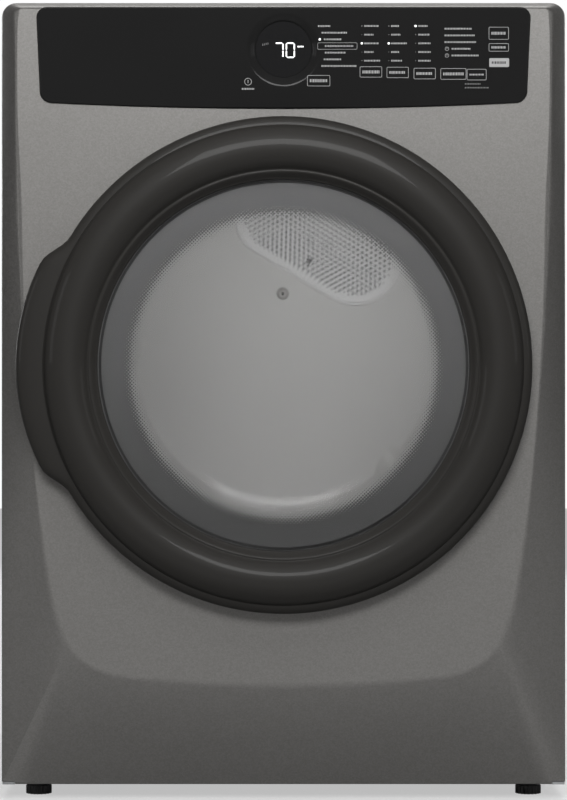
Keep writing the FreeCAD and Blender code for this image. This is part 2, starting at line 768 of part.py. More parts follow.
def drum_lamp():
    y = front_plateau_y
    dome_height = 6
    holder_depth = 20
    dome = [(0, y + dome_height), (9, y + 5), (17, y + 2), (21, y)]
    profile = dome + [(lamp_radius, y), (lamp_radius, y - holder_depth), (0, y - holder_depth)]
    return turned(profile, lamp_x, lamp_z)


def moisture_bars():
    bars = [block(-50, 50, front_plateau_y, front_plateau_y + 2, z, z + 3) for z in (279, 285)]
    return Part.makeCompound(bars)


def lint_duct():
    low, high = duct_y
    collar = rod(collar_radius + collar_wall + 0.4, low - 5, high + 5, 0, door_z)
    outer = joined([block(-118, 118, low, high, 150, 345), block(-118, 226, low, high, 64, 216)])
    w = duct_wall
    inner = joined([block(-118 + w, 118 - w, low + w, high - w, 100, 345),
                    block(-118 + w, 226 - w, low + w, high - w, 64 + w, 216 - w)])
    lid = block(-118, 118, low, high, 300, 345)
    lid = lid.cut(block(-filter_half - 4, filter_half + 4, filter_y[0] - 2, filter_y[1] + 1.5, 290, 350))
    duct = joined([outer.cut(inner), lid]).cut(collar)
    duct = duct.cut(block(-80, 80, high - w - 1, high + 1, 240, 290))
    duct = duct.cut(rod(inlet_radius, high - w - 1, high + 1, motor_x, motor_z))
    spigot = pipe(inlet_radius + 2.5, inlet_radius, high, blower_front_y, motor_x, motor_z)
    return joined([duct, spigot])


def lint_filter():
    y0, y1 = filter_y
    z0, z1 = filter_z
    frame = block(-filter_half, filter_half, y0, y1, z0, z1)
    frame = frame.cut(block(-filter_half + 10, -3, y0 - 1, y1 + 1, z0 + 10, z1 - 32))
    frame = frame.cut(block(3, filter_half - 10, y0 - 1, y1 + 1, z0 + 10, z1 - 32))
    frame = frame.cut(block(-40, 40, y0 + 3, y1 - 2, z1 - 16, z1 + 1))
    middle_y = (y0 + y1) / 2
    screen = block(-filter_half + 9, filter_half - 9, middle_y - 0.5, middle_y + 0.5, z0 + 9, z1 - 31)
    return joined([frame, screen])


def roller_places():
    reach = drum_radius + 0.4 + roller_radius
    turn = math.radians(roller_angle)
    return [(side * reach * math.sin(turn), drum_z - reach * math.cos(turn)) for side in (-1, 1)]


def roller_shafts():
    shafts = []
    for x, z in roller_places():
        shafts.append(joined([rod(roller_shaft_radius, 253, rear_wall_y + 6, x, z),
                              rod(9.5, 250.5, 253, x, z)]))
    return Part.makeCompound(shafts)


def drum_roller(x, z):
    bore = roller_shaft_radius + running_gap
    profile = [(bore, 254), (11, 254), (11, 260), (30, 262), (33, 258), (roller_radius - 2, 258),
               (roller_radius, 260), (roller_radius, 282), (roller_radius - 2, 284), (33, 284), (30, 280),
               (11, 282), (11, 290), (bore, 290)]
    return turned(profile, x, z)


# ---------------------------------------------------------------- drive

def belt_stations():
    """Belt line round the drum, the motor pulley and the idler: (x, z, signed radius)."""
    middle = belt_gap + belt_thickness / 2
    return [(0.0, drum_z, drum_radius + middle), (motor_x, motor_z, pulley_groove_radius + middle),
            (idler_x, idler_z, -(idler_radius + middle))]


def drive_belt():
    solids = []
    for offset in (belt_thickness / 2, -belt_thickness / 2):
        face = Part.Face(tangent_loop(belt_stations(), offset))
        solids.append(face.extrude(Vector(0, belt_width, 0)))
    belt = solids[0].cut(solids[1])
    belt.translate(Vector(0, belt_y - belt_width / 2, 0))
    return belt


def motor_body():
    can_front_y = -138
    can_rear_y = 3
    bell_depth = 12
    bell_radius = motor_radius - 14
    front_y = can_front_y - bell_depth
    back_y = can_rear_y + bell_depth
    can = rod(motor_radius, can_front_y, can_rear_y, motor_x, motor_z)
    bells = rod(bell_radius, front_y, back_y, motor_x, motor_z)
    bore = rod(shaft_radius + running_gap, front_y - 1, back_y + 1, motor_x, motor_z)
    return joined([can, bells]).cut(bore)


def motor_bracket():
    floor = base_z + 1.5
    shapes = [block(90, 242, -150, 20, floor, floor + 3), block(200, 242, 19, 60, floor, floor + 3)]
    for y in (-130, -8):
        upright = block(84, 216, y, y + 4, floor, 118)
        shapes.append(upright.cut(rod(motor_radius + 0.1, y - 1, y + 5, motor_x, motor_z)))
    shapes.append(block(212, 238, 56, 60, floor, arm_pivot_z + 14))
    shapes.append(rod(stud_radius, 44, 56, arm_pivot_x, arm_pivot_z))
    shapes.append(rod(8, 42, 44, arm_pivot_x, arm_pivot_z))
    return joined(shapes)


def motor_shaft():
    """Motor shaft with the belt pulley, from the blower wheel back to the belt."""
    shaft = rod(shaft_radius, -232, 52, motor_x, motor_z)
    groove = pulley_groove_radius
    pulley = turned([(0, 31.5), (groove + 4, 31.5), (groove + 4, 33.5), (groove, 34.5), (groove, 45.5),
                     (groove + 4, 46.5), (groove + 4, 48.5), (0, 48.5)], motor_x, motor_z)
    return joined([shaft, pulley])


def blower_wheel():
    back = rod(wheel_radius, -171, -169, motor_x, motor_z)
    hub = rod(14, -228, -169, motor_x, motor_z)
    rim = pipe(wheel_radius, wheel_radius - 6, -229, -227, motor_x, motor_z)
    blade = block(motor_x + 48, motor_x + wheel_radius - 0.5, -228, -170, motor_z - 0.8, motor_z + 0.8)
    blades = []
    for step in range(18):
        turned_blade = blade.copy()
        turned_blade.rotate(Vector(motor_x, 0, motor_z), Vector(0, 1, 0), 20 * step)
        blades.append(turned_blade)
    wheel = joined([back, hub, rim] + blades)
    return wheel.cut(rod(shaft_radius, -240, -160, motor_x, motor_z))


def blower_housing():
    y0, y1 = blower_front_y, blower_rear_y
    w = duct_wall
    outer = joined([rod(blower_radius, y0, y1, motor_x, motor_z), block(-58, motor_x, y0, y1, 46, 164)])
    inner = joined([rod(blower_radius - w, y0 + w, y1 - w, motor_x, motor_z),
                    block(-58 + w, motor_x, y0 + w, y1 - w, 46 + w, 164 - w)])
    housing = outer.cut(inner)
    housing = housing.cut(rod(inlet_radius, y0 - 1, y0 + w + 1, motor_x, motor_z))
    housing = housing.cut(rod(shaft_radius + 3, y1 - w - 1, y1 + 1, motor_x, motor_z))
    return housing.cut(rod(tube_radius - exhaust_wall, y1 - w - 1, y1 + 1, 0, exhaust_z))


def exhaust_duct():
    """The tube from the blower, with the wider collar that a house duct slips over."""
    tube_inner = tube_radius - exhaust_wall
    tube = pipe(tube_radius, tube_inner, blower_rear_y, rear_y + exhaust_wall, 0, exhaust_z)
    step = pipe(exhaust_radius, tube_inner, rear_y, rear_y + exhaust_wall, 0, exhaust_z)
    collar = pipe(exhaust_radius, exhaust_radius - exhaust_wall, rear_y, exhaust_end_y, 0, exhaust_z)
    return joined([tube, step, collar])


def idler_arm():
    """Swinging arm with the idler's axle at its top."""
    bar = plate([(arm_pivot_x - 9, arm_pivot_z), (arm_pivot_x + 9, arm_pivot_z),
                 (idler_x + 8, idler_z), (idler_x - 8, idler_z)], 50, 54)
    shapes = [bar, rod(9, 50, 54, arm_pivot_x, arm_pivot_z), rod(8, 50, 54, idler_x, idler_z),
              rod(axle_radius, 30, 50, idler_x, idler_z), rod(7, 28, 30, idler_x, idler_z)]
    return joined(shapes).cut(rod(stud_radius + running_gap, 49, 55, arm_pivot_x, arm_pivot_z))


def idler_pulley():
    bore = axle_radius + running_gap
    profile = [(bore, 31), (9, 31), (9, 34), (idler_radius - 5, 34), (idler_radius - 5, 32),
               (idler_radius + 2.5, 32), (idler_radius + 2.5, 34), (idler_radius, 34.5),
               (idler_radius, 45.5), (idler_radius + 2.5, 46), (idler_radius + 2.5, 48),
               (idler_radius - 5, 48), (idler_radius - 5, 45), (9, 45), (9, 49), (bore, 49)]
    return turned(profile, idler_x, idler_z)


def idler_spring():
    """Torsion spring round the arm's stud: a coil of short runs joined by arcs."""
    points = []
    for step in range(spring_turns * spring_steps + 1):
        angle = 2 * math.pi * step / spring_steps
        y = spring_front_y + spring_pitch * step / spring_steps
        points.append((arm_pivot_x + spring_radius * math.cos(angle), y,
                       arm_pivot_z + spring_radius * math.sin(angle)))
    return tube_along(points, spring_wire / 2, 0.75 * spring_radius)


# ---------------------------------------------------------------- heat and service parts

def heater_box():
    back = 346.0
    front = rear_wall_y + 1.6
    outer = joined([grille_slab(9.0, front, back), block(60, 160, front, back, 232, 680)])
    inner = joined([grille_slab(8.0, front - 1, back - 1), block(61, 159, front - 1, back - 1, 231, 679)])
    lip = block(61, 159, front, front + 1, 232, 560)
    return joined([outer.cut(inner), lip])


def heating_element():
    route = [(80, 324, 244)]
    for column in range(4):
        x = 80 + 20 * column
        ends = (560, 262) if column % 2 else (262, 560)
        if column:
            route.append((x, 324, ends[0]))
        route.append((x, 324, ends[1]))
    route[-1] = (140, 324, 244)
    return tube_along(route, 3, 8)


def thermostats():
    caps = []
    for x, z in ((84, 600), (134, 560), (110, 250)):
        caps.append(joined([rod(11, 346, 356, x, z), rod(14, 346, 347.5, x, z)]))
    return Part.makeCompound(caps)


def terminal_block():
    body = block(-240, -160, 352, 372, 815, 875)
    studs = [rod(3.5, 372, 376.5, -225 + 25 * k, 845) for k in range(3)]
    walls = [block(-214.5 + 25 * k, -210.5 + 25 * k, 372, 376, 818, 872) for k in range(2)]
    legs = [block(-246, -154, 348, 352, 806, 884)]
    return joined([body] + studs + walls + legs)


def terminal_cover():
    cover = block(-256, -144, rear_y, rear_y + 6, 790, 900)
    cover = cover.cut(block(-255, -145, rear_y - 1, rear_y + 5, 791, 899))
    left_x, right_x, low_z, high_z = -260, -140, 786, 904
    edge = 5
    rim = block(left_x, right_x, rear_y, rear_y + 1, low_z, high_z)
    hollow = block(left_x + edge, right_x - edge, rear_y - 1, rear_y + 2, low_z + edge, high_z - edge)
    rim = rim.cut(hollow)
    return joined([cover, rim])


def main():
    os.makedirs("parts", exist_ok=True)
    save("front_panel", front_panel())
    right = side_panel()
    save("side_panel_right", right)
    save("side_panel_left", mirrored(right))
    save("top_panel", top_panel())
    save("rear_panel", rear_panel())
    save("base_pan", base_pan())
    save("cabinet_screws", cabinet_screws())
    number = 0
    for y in foot_y:
        for x in (-foot_x, foot_x):
            number += 1
            save("levelling_foot_" + str(number), levelling_foot(x, y))

    save("console_fascia", console_fascia())
    save("display_lens", display_lens())
    save("console_carrier", console_carrier())
    save("interface_board", interface_board())
    save("main_control_board", main_control_board())

    save("door_ring", door_ring())
    save("outer_glass", outer_glass())
    save("inner_glass_bowl", inner_glass_bowl())
    save("door_back_cover", door_back_cover().cut(screw_holes()).cut(strike_slot()))
    save("door_screws", door_screws())
    save("door_strike", door_strike())
    save("door_hinge_leaf", door_hinge_leaf())
    save("cabinet_hinge_leaf", cabinet_hinge_leaf())
    save("door_gasket", door_gasket())
    save("door_catch", door_catch())
    save("door_switch_body", door_switch_body())
    save("switch_plunger", switch_plunger())

    save("drum_shell", drum_shell())
    save("drum_vanes", drum_vanes())
    save("front_bulkhead", front_bulkhead())
    save("rear_bulkhead", rear_bulkhead())
    save("drum_felt_seals", drum_felt_seals())
    save("drum_glides", drum_glides())
    save("air_grille", air_grille())
    save("steam_nozzle", steam_nozzle())
    save("steam_hose", steam_hose())
    save("water_inlet_valve", water_inlet_valve())
    save("drum_lamp", drum_lamp())
    save("moisture_bars", moisture_bars())
    save("lint_duct", lint_duct())
    save("lint_filter", lint_filter())
    save("roller_shafts", roller_shafts())
    for name, (x, z) in zip(("left", "right"), roller_places()):
        save("drum_roller_" + name, drum_roller(x, z))

    save("drive_belt", drive_belt())
    save("motor_body", motor_body())
    save("motor_bracket", motor_bracket())
    save("motor_shaft", motor_shaft())
    save("blower_wheel", blower_wheel())
    save("blower_housing", blower_housing())
    save("exhaust_duct", exhaust_duct())
    save("idler_arm", idler_arm())
    save("idler_pulley", idler_pulley())
    save("idler_spring", idler_spring())

    save("heater_box", heater_box())
    save("heating_element", heating_element())
    save("thermostats", thermostats())
    save("terminal_block", terminal_block())
    save("terminal_cover", terminal_cover())


main()
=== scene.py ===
import bmesh
import bpy
import json
import math
from mathutils import Matrix, Vector


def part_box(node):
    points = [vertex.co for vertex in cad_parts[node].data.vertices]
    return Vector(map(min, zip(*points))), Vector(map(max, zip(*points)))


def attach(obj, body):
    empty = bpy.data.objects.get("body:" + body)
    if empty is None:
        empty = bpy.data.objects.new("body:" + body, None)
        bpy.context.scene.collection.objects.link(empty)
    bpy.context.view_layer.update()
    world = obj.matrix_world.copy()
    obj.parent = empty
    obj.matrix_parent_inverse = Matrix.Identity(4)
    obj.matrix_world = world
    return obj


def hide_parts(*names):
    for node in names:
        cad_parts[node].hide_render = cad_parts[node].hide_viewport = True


# Front-loading clothes dryer: the looks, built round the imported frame.
# Metres, +Z up, the front faces -Y and X 0 is the middle.

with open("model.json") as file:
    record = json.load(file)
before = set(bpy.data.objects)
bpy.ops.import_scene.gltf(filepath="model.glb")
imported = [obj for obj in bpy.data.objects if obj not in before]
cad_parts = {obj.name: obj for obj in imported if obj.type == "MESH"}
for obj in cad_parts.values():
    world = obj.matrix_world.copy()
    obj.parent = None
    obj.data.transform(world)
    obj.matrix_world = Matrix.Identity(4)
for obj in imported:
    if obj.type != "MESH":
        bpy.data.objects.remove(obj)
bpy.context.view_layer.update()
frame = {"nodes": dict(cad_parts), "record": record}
nodes = frame["nodes"]
mm = 0.001
tau = 2 * math.pi

panel_low, panel_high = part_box("front_panel")
ring_low, ring_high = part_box("door_ring")
fascia_low, fascia_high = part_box("console_fascia")
lens_low, lens_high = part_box("display_lens")
glass_low, glass_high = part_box("outer_glass")
grille_low, grille_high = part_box("air_grille")
bowl_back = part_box("inner_glass_bowl")[1].y
rear_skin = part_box("rear_panel")[1].y

half_width = panel_high.x
top_z = panel_high.z
base_z = panel_low.z
face_y = panel_low.y
edge_y = face_y + 22 * mm       # where the slope of the panel's front meets its rim
seam_y = face_y + 32 * mm       # where the rim meets the side and top panels
door_z = (glass_low.z + glass_high.z) / 2
dial_z = (lens_low.z + lens_high.z) / 2


# -------------------- lines and meshes

def arc(x, z, radius, start, end, steps):
    """Points (x, z) on an arc about a centre, between two angles in degrees."""
    points = []
    for step in range(steps + 1):
        angle = math.radians(start + (end - start) * step / steps)
        points.append((x + radius * math.cos(angle), z + radius * math.sin(angle)))
    return points


def flowing(points, steps):
    """A smooth line through points, with the given number of steps between each pair."""
    line = []
    ends = [points[0]] + list(points) + [points[-1]]
    for index in range(1, len(points)):
        before, start, end, after = (Vector(p) for p in ends[index - 1:index + 3])
        for step in range(steps):
            t = step / steps
            bent = (2 * start + (end - before) * t
                    + (2 * before - 5 * start + 4 * end - after) * t * t
                    + (3 * start - before - 3 * end + after) * t ** 3) / 2
            line.append(tuple(bent))
    return line + [tuple(points[-1])]


def smooth_step(low, high, value):
    """Goes smoothly from 0 at low to 1 at high."""
    t = min(max((value - low) / (high - low), 0.0), 1.0)
    return t * t * (3 - 2 * t)


def metres(points):
    """Turns (x, z) points in millimetres into metres."""
    return [(x * mm, z * mm) for x, z in points]


def mirrored_line(half):
    """A right half outline from top middle to bottom middle, closed by its left half."""
    return half + [(-x, z) for x, z in reversed(half[1:-1])]


def add_loop(bm, points, y):
    """A closed loop of edges through (x, z) points; y is one depth or one for each point."""
    depths = y if isinstance(y, list) else [y] * len(points)
    corners = [bm.verts.new((x, depth, z)) for (x, z), depth in zip(points, depths)]
    return [bm.edges.new((a, b)) for a, b in zip(corners, corners[1:] + corners[:1])]


def bridge(bm, loops):
    """Joins each loop of edges to the next with a band of faces."""
    for first, second in zip(loops, loops[1:]):
        bmesh.ops.bridge_loops(bm, edges=first + second)


def lathe(bm, profile, x, z, steps=128, closed=True):
    """Turns a line of (radius, y) points round an axis along Y through (x, z)."""
    points = [bm.verts.new((x + radius, y, z)) for radius, y in profile]
    pairs = list(zip(points, points[1:]))
    if closed:
        pairs.append((points[-1], points[0]))
    edges = [bm.edges.new(pair) for pair in pairs]
    bmesh.ops.spin(bm, geom=points + edges, cent=(x, 0, z), axis=(0, 1, 0), angle=tau, steps=steps,
                   use_merge=True)


def circle_edges(bm, radius, y, x, z):
    """The edges of a turned form that lie on one circle."""
    def on_circle(point):
        return abs(point.y - y) < 1e-5 and abs(math.hypot(point.x - x, point.z - z) - radius) < 2e-5

    return [edge for edge in bm.edges if all(on_circle(v.co) for v in edge.verts)]


def fill(bm, edges, way=-1):
    """Fills closed loops of edges with triangles that look along Y, forward or back."""
    bmesh.ops.triangle_fill(bm, use_beauty=True, use_dissolve=False, edges=edges, normal=(0, way, 0))


def push_back(bm, geometry, distance):
    """Moves the points of an extruded region along Y."""
    points = [v for v in geometry if isinstance(v, bmesh.types.BMVert)]
    bmesh.ops.translate(bm, verts=points, vec=(0, distance, 0))


def add_box(bm, x0, x1, y0, y1, z0, z1):
    """A box between two corners."""
    middle = Vector(((x0 + x1) / 2, (y0 + y1) / 2, (z0 + z1) / 2))
    size = Matrix.Diagonal((x1 - x0, y1 - y0, z1 - z0, 1))
    bmesh.ops.create_cube(bm, size=1.0, matrix=Matrix.Translation(middle) @ size)


def add_rod(bm, radius, y0, y1, x, z, sides=24):
    """A closed round rod along Y."""
    turned = Matrix.Translation((x, (y0 + y1) / 2, z)) @ Matrix.Rotation(math.pi / 2, 4, "X")
    bmesh.ops.create_cone(bm, cap_ends=True, segments=sides, radius1=radius, radius2=radius,
                          depth=y1 - y0, matrix=turned)


def shade(mesh, sharp):
    """Smooth shading that keeps creases, and keeps faces that look straight forward or back flat."""
    mesh.shade_smooth()
    mesh.set_sharp_from_angle(angle=math.radians(sharp))
    for face in mesh.polygons:
        if abs(face.normal.y) > 0.99999:
            face.use_smooth = False


def add_object(name, data):
    """An object in the scene with a mesh, light or camera."""
    made = bpy.data.objects.new(name, data)
    bpy.context.scene.collection.objects.link(made)
    return made


def finish_mesh(bm, name, material, sharp=35):
    """Makes the bmesh an object with merged seams, outward normals and smooth shading."""
    bmesh.ops.remove_doubles(bm, verts=bm.verts, dist=1e-6)
    bmesh.ops.dissolve_degenerate(bm, edges=bm.edges, dist=1e-7)
    bmesh.ops.recalc_face_normals(bm, faces=bm.faces)
    mesh = bpy.data.meshes.new(name)
    bm.to_mesh(mesh)
    bm.free()
    shade(mesh, sharp)
    mesh.materials.append(material)
    return add_object(name, mesh)


def evaluated(made):
    """Applies an object's modifiers to its mesh."""
    bpy.context.view_layer.update()
    graph = bpy.context.evaluated_depsgraph_get()
    mesh = bpy.data.meshes.new_from_object(made.evaluated_get(graph))
    made.modifiers.clear()
    made.data = mesh
    shade(mesh, 35)
    return made


def cut_away(made, cutter_bm):
    """Cuts the cutter's closed forms out of an object."""
    mesh = bpy.data.meshes.new("cutter")
    bmesh.ops.recalc_face_normals(cutter_bm, faces=cutter_bm.faces)
    cutter_bm.to_mesh(mesh)
    cutter_bm.free()
    cutter = add_object("cutter", mesh)
    cut = made.modifiers.new("cut", "BOOLEAN")
    cut.operation = "DIFFERENCE"
    cut.solver = "EXACT"
    cut.object = cutter
    evaluated(made)
    bpy.data.objects.remove(cutter)
    return made


def thicken(made, thickness):
    """Gives a skin its wall, inwards from the outside."""
    wall = made.modifiers.new("wall", "SOLIDIFY")
    wall.thickness = thickness
    wall.offset = -1
    return evaluated(made)


def place(made, body, slot, *replaced):
    """Puts a piece on its body and hides the CAD nodes that it stands for; the slot is not used."""
    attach(made, body)
    if replaced:
        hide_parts(*replaced)
    return made


# -------------------- material groups

def new_group(name, inputs, outputs):
    """A shader node group: inputs as (name, kind, value), outputs as (name, kind)."""
    group = bpy.data.node_groups.new(name, "ShaderNodeTree")
    for label, kind, value in inputs:
        socket = group.interface.new_socket(label, in_out="INPUT", socket_type="NodeSocket" + kind)
        if value is not None:
            socket.default_value = value
    for label, kind in outputs:
        group.interface.new_socket(label, in_out="OUTPUT", socket_type="NodeSocket" + kind)
    return group, group.nodes.new("NodeGroupInput"), group.nodes.new("NodeGroupOutput")


def set_inputs(tree, node, inputs):
    """Links a node's inputs to sockets, or gives them values."""
    for name, value in inputs.items():
        if isinstance(value, bpy.types.NodeSocket):
            tree.links.new(value, node.inputs[name])
        else:
            node.inputs[name].default_value = value
    return node


def add_node(tree, kind, inputs=None, **settings):
    """A node with its properties set and its inputs linked or given values."""
    node = tree.nodes.new("ShaderNode" + kind)
    for name, value in settings.items():
        setattr(node, name, value)
    return set_inputs(tree, node, inputs or {})


def vary(group, value, spread, base):
    """A base number moved up and down by a value that runs from 0 to 1."""
    centred = add_node(group, "Math", {0: value, 1: 0.5}, operation="SUBTRACT")
    return add_node(group, "Math", {0: centred.outputs[0], 1: spread, 2: base},
                    operation="MULTIPLY_ADD").outputs[0]


def tint(group, colour, value, spread):
    """A colour made a little lighter or darker by a value that runs from 0 to 1."""
    return add_node(group, "VectorMath", {0: colour, "Scale": vary(group, value, spread, 1.0)},
                    operation="SCALE").outputs[0]


def patchy_group():
    """Slow, soft change of colour and roughness over a surface, as handling and age give."""
    group, given, result = new_group(
        "patchy",
        [("Vector", "Vector", None), ("Color", "Color", (0.5, 0.5, 0.5, 1)), ("Spread", "Float", 0.1),
         ("Scale", "Float", 8.0), ("Roughness", "Float", 0.4), ("Roughness Spread", "Float", 0.05)],
        [("Color", "Color"), ("Roughness", "Float")])
    sent = given.outputs
    noise = add_node(group, "TexNoise", {"Vector": sent["Vector"], "Scale": sent["Scale"],
                                         "Detail": 4.0, "Roughness": 0.6}).outputs["Fac"]
    set_inputs(group, result, {
        "Color": tint(group, sent["Color"], noise, sent["Spread"]),
        "Roughness": vary(group, noise, sent["Roughness Spread"], sent["Roughness"])})
    return group


def grain_group():
    """Fine height of a moulded, painted or cast skin."""
    group, given, result = new_group(
        "grain", [("Vector", "Vector", None), ("Scale", "Float", 900.0), ("Coarseness", "Float", 0.3)],
        [("Height", "Float")])
    sent = given.outputs
    fine = add_node(group, "TexNoise", {"Vector": sent["Vector"], "Scale": sent["Scale"],
                                        "Detail": 3.0})
    wide_scale = add_node(group, "Math", {0: sent["Scale"], 1: 0.12}, operation="MULTIPLY")
    wide = add_node(group, "TexNoise", {"Vector": sent["Vector"], "Scale": wide_scale.outputs[0],
                                        "Detail": 2.0})
    both = add_node(group, "Math", {0: wide.outputs["Fac"], 1: sent["Coarseness"],
                                    2: fine.outputs["Fac"]}, operation="MULTIPLY_ADD")
    set_inputs(group, result, {"Height": both.outputs[0]})
    return group


def flake_group():
    """Metal flake or zinc spangle: cells that each catch the light a little differently."""
    group, given, result = new_group(
        "flake",
        [("Vector", "Vector", None), ("Color", "Color", (0.5, 0.5, 0.5, 1)), ("Scale", "Float", 900.0),
         ("Contrast", "Float", 0.2)],
        [("Color", "Color"), ("Mask", "Float")])
    sent = given.outputs
    cells = add_node(group, "TexVoronoi", {"Vector": sent["Vector"], "Scale": sent["Scale"]})
    split = add_node(group, "SeparateColor", {"Color": cells.outputs["Color"]}).outputs
    set_inputs(group, result, {"Color": tint(group, sent["Color"], split[0], sent["Contrast"]),
                               "Mask": split[1]})
    return group


def brushed_group():
    """Fine lines that run one way: noise stretched along the brushing."""
    group, given, result = new_group(
        "brushed",
        [("Vector", "Vector", None), ("Stretch", "Vector", (40, 1200, 1200)),
         ("Roughness", "Float", 0.3), ("Spread", "Float", 0.2)],
        [("Roughness", "Float"), ("Height", "Float")])
    sent = given.outputs
    stretched = add_node(group, "VectorMath", {0: sent["Vector"], 1: sent["Stretch"]},
                         operation="MULTIPLY")
    lines = add_node(group, "TexNoise", {"Vector": stretched.outputs[0], "Scale": 1.0,
                                         "Detail": 2.0}).outputs["Fac"]
    set_inputs(group, result, {"Roughness": vary(group, lines, sent["Spread"], sent["Roughness"]),
                               "Height": lines})
    return group


patchy = patchy_group()
grain = grain_group()
flake = flake_group()
brushed = brushed_group()


def place_group(tree, group, where, **inputs):
    """Places a group in a material, on the object's coordinates; gives back its outputs."""
    named = {name.replace("_", " "): value for name, value in inputs.items()}
    return add_node(tree, "Group", {"Vector": where, **named}, node_tree=group).outputs


def patches(tree, where, colour, roughness, spread, rough_spread, scale):
    """The patchy group's colour and roughness, ready for a shader's sockets."""
    skin = place_group(tree, patchy, where, Color=colour, Spread=spread, Scale=scale,
                       Roughness=roughness, Roughness_Spread=rough_spread)
    return {"Base Color": skin["Color"], "Roughness": skin["Roughness"]}


def dents(tree, height, strength, depth=0.2 * mm):
    """A bumped normal, ready for a shader's socket."""
    bump = add_node(tree, "Bump", {"Height": height, "Strength": strength, "Distance": depth})
    return {"Normal": bump.outputs["Normal"]}


def start_material(name, **sockets):
    """A material with its Principled shader and the object's own coordinates."""
    material = bpy.data.materials.new(name)
    material.use_nodes = True
    tree = material.node_tree
    shader = tree.nodes["Principled BSDF"]
    for socket, value in sockets.items():
        shader.inputs[socket.replace("_", " ")].default_value = value
    coordinates = add_node(tree, "TexCoord").outputs["Object"]
    return material, tree, shader, coordinates


def grey(value):
    """A neutral colour."""
    return (value, value, value, 1)


def moulded(name, colour, roughness, spread=0.06, grain_scale=900.0, bump=0.12, depth=0.2 * mm,
            **sockets):
    """Plastic, rubber or enamel: patchy colour and gloss with a fine grain."""
    material, tree, shader, where = start_material(name, **sockets)
    skin = place_group(tree, grain, where, Scale=grain_scale, Coarseness=0.4)
    set_inputs(tree, shader, patches(tree, where, colour, roughness, spread * 2, spread * 2, 9.0))
    set_inputs(tree, shader, dents(tree, skin["Height"], bump, depth))
    return material


def sheet_metal(name, colour, roughness, stretch, spread=0.16, spangle=0.0):
    """Steel or aluminium: brushing lines, and zinc spangle where it has any."""
    material, tree, shader, where = start_material(name, Metallic=1.0)
    lines = place_group(tree, brushed, where, Stretch=stretch, Roughness=roughness, Spread=spread)
    cells = place_group(tree, flake, where, Color=colour, Scale=90.0, Contrast=spangle)
    skin = patches(tree, where, cells["Color"], roughness, 0.12, 0.1, 5.0)
    set_inputs(tree, shader, {"Base Color": skin["Base Color"], "Roughness": lines["Roughness"]})
    set_inputs(tree, shader, dents(tree, lines["Height"], 0.08))
    return material


def cabinet_paint():
    """Satin dark silver paint: metal flake under a thin clear coat, with a faint orange peel."""
    material, tree, shader, where = start_material("cabinet_paint", Coat_Weight=0.12,
                                                   Coat_Roughness=0.22)
    cells = place_group(tree, flake, where, Color=(0.275, 0.268, 0.258, 1), Scale=650.0,
                        Contrast=0.16)
    metal = add_node(tree, "MapRange", {"Value": cells["Mask"], "To Min": 0.72, "To Max": 0.9})
    peel = place_group(tree, grain, where, Scale=500.0, Coarseness=0.8)
    set_inputs(tree, shader, patches(tree, where, cells["Color"], 0.44, 0.05, 0.04, 4.0))
    set_inputs(tree, shader, {"Metallic": metal.outputs["Result"]})
    set_inputs(tree, shader, dents(tree, peel["Height"], 0.05))
    return material


def gloss_plastic(name, colour, roughness, coat, shine=0.5):
    """Polished dark moulding with a faint haze of handling."""
    material, tree, shader, where = start_material(name, Coat_Weight=coat, Coat_Roughness=0.04,
                                                   Specular_IOR_Level=shine)
    waves = place_group(tree, grain, where, Scale=60.0, Coarseness=1.0)
    set_inputs(tree, shader, patches(tree, where, colour, roughness, 0.12, 0.06, 6.0))
    set_inputs(tree, shader, dents(tree, waves["Height"], 0.02))
    return material


def clear_glass(name, colour, alpha, roughness):
    """Thin clear glass; part of the light goes straight through it."""
    material, tree, shader, where = start_material(name, Transmission_Weight=1.0, IOR=1.45, Alpha=alpha)
    set_inputs(tree, shader, patches(tree, where, colour, roughness, 0.03, 0.02, 7.0))
    return material


def printed_border():
    """Dark print round the window: solid outside, breaking into a halftone towards the middle. Its grey
    is painted lighter towards the top and darker towards the bottom, as painted light from above.
    """
    material, tree, shader, where = start_material("window_print")
    centred = add_node(tree, "Mapping", {"Vector": where, "Location": (0, 0, -door_z)})
    axes = add_node(tree, "SeparateXYZ", {"Vector": centred.outputs["Vector"]})
    flat = add_node(tree, "CombineXYZ", {"X": axes.outputs["X"], "Y": axes.outputs["Z"]})
    radius = add_node(tree, "VectorMath", {0: flat.outputs[0]}, operation="LENGTH")
    cover = add_node(tree, "MapRange", {"Value": radius.outputs["Value"], "From Min": 174 * mm,
                                        "From Max": 197 * mm, "To Min": 0.0, "To Max": 0.78})
    pitch = 3.0 * mm
    turned = add_node(tree, "Mapping", {"Vector": flat.outputs[0], "Rotation": (0, 0, math.pi / 4),
                                        "Scale": (1 / pitch, 1 / pitch, 1)})
    cell = add_node(tree, "VectorMath", {0: turned.outputs["Vector"]}, operation="FRACTION")
    away = add_node(tree, "VectorMath", {0: cell.outputs[0], 1: (0.5, 0.5, 0)}, operation="SUBTRACT")
    reach = add_node(tree, "VectorMath", {0: away.outputs[0]}, operation="LENGTH")
    dot = add_node(tree, "Math", {0: reach.outputs["Value"], 1: cover.outputs["Result"]},
                   operation="LESS_THAN")
    # painted light: the print's grey runs lighter towards the top and darker towards the bottom, for
    # the light from above
    painted_light_tone = add_node(tree, "MapRange", {"Value": axes.outputs["Z"], "From Min": -0.2, "From Max": 0.2,
                                       "To Min": 0.062, "To Max": 0.135})
    set_inputs(tree, shader, patches(tree, where, painted_light_tone.outputs["Result"], 0.5, 0.1, 0.05, 5.0))
    set_inputs(tree, shader, {"Alpha": dot.outputs[0]})
    return material


def lit_mark(name, strength):
    """A lit display segment or lamp, slightly uneven."""
    material, tree, shader, where = start_material(name, Roughness=0.4, Emission_Strength=strength)
    glow = patches(tree, where, grey(0.95), 0.4, 0.15, 0.02, 300.0)["Base Color"]
    set_inputs(tree, shader, {"Base Color": glow, "Emission Color": glow})
    return material


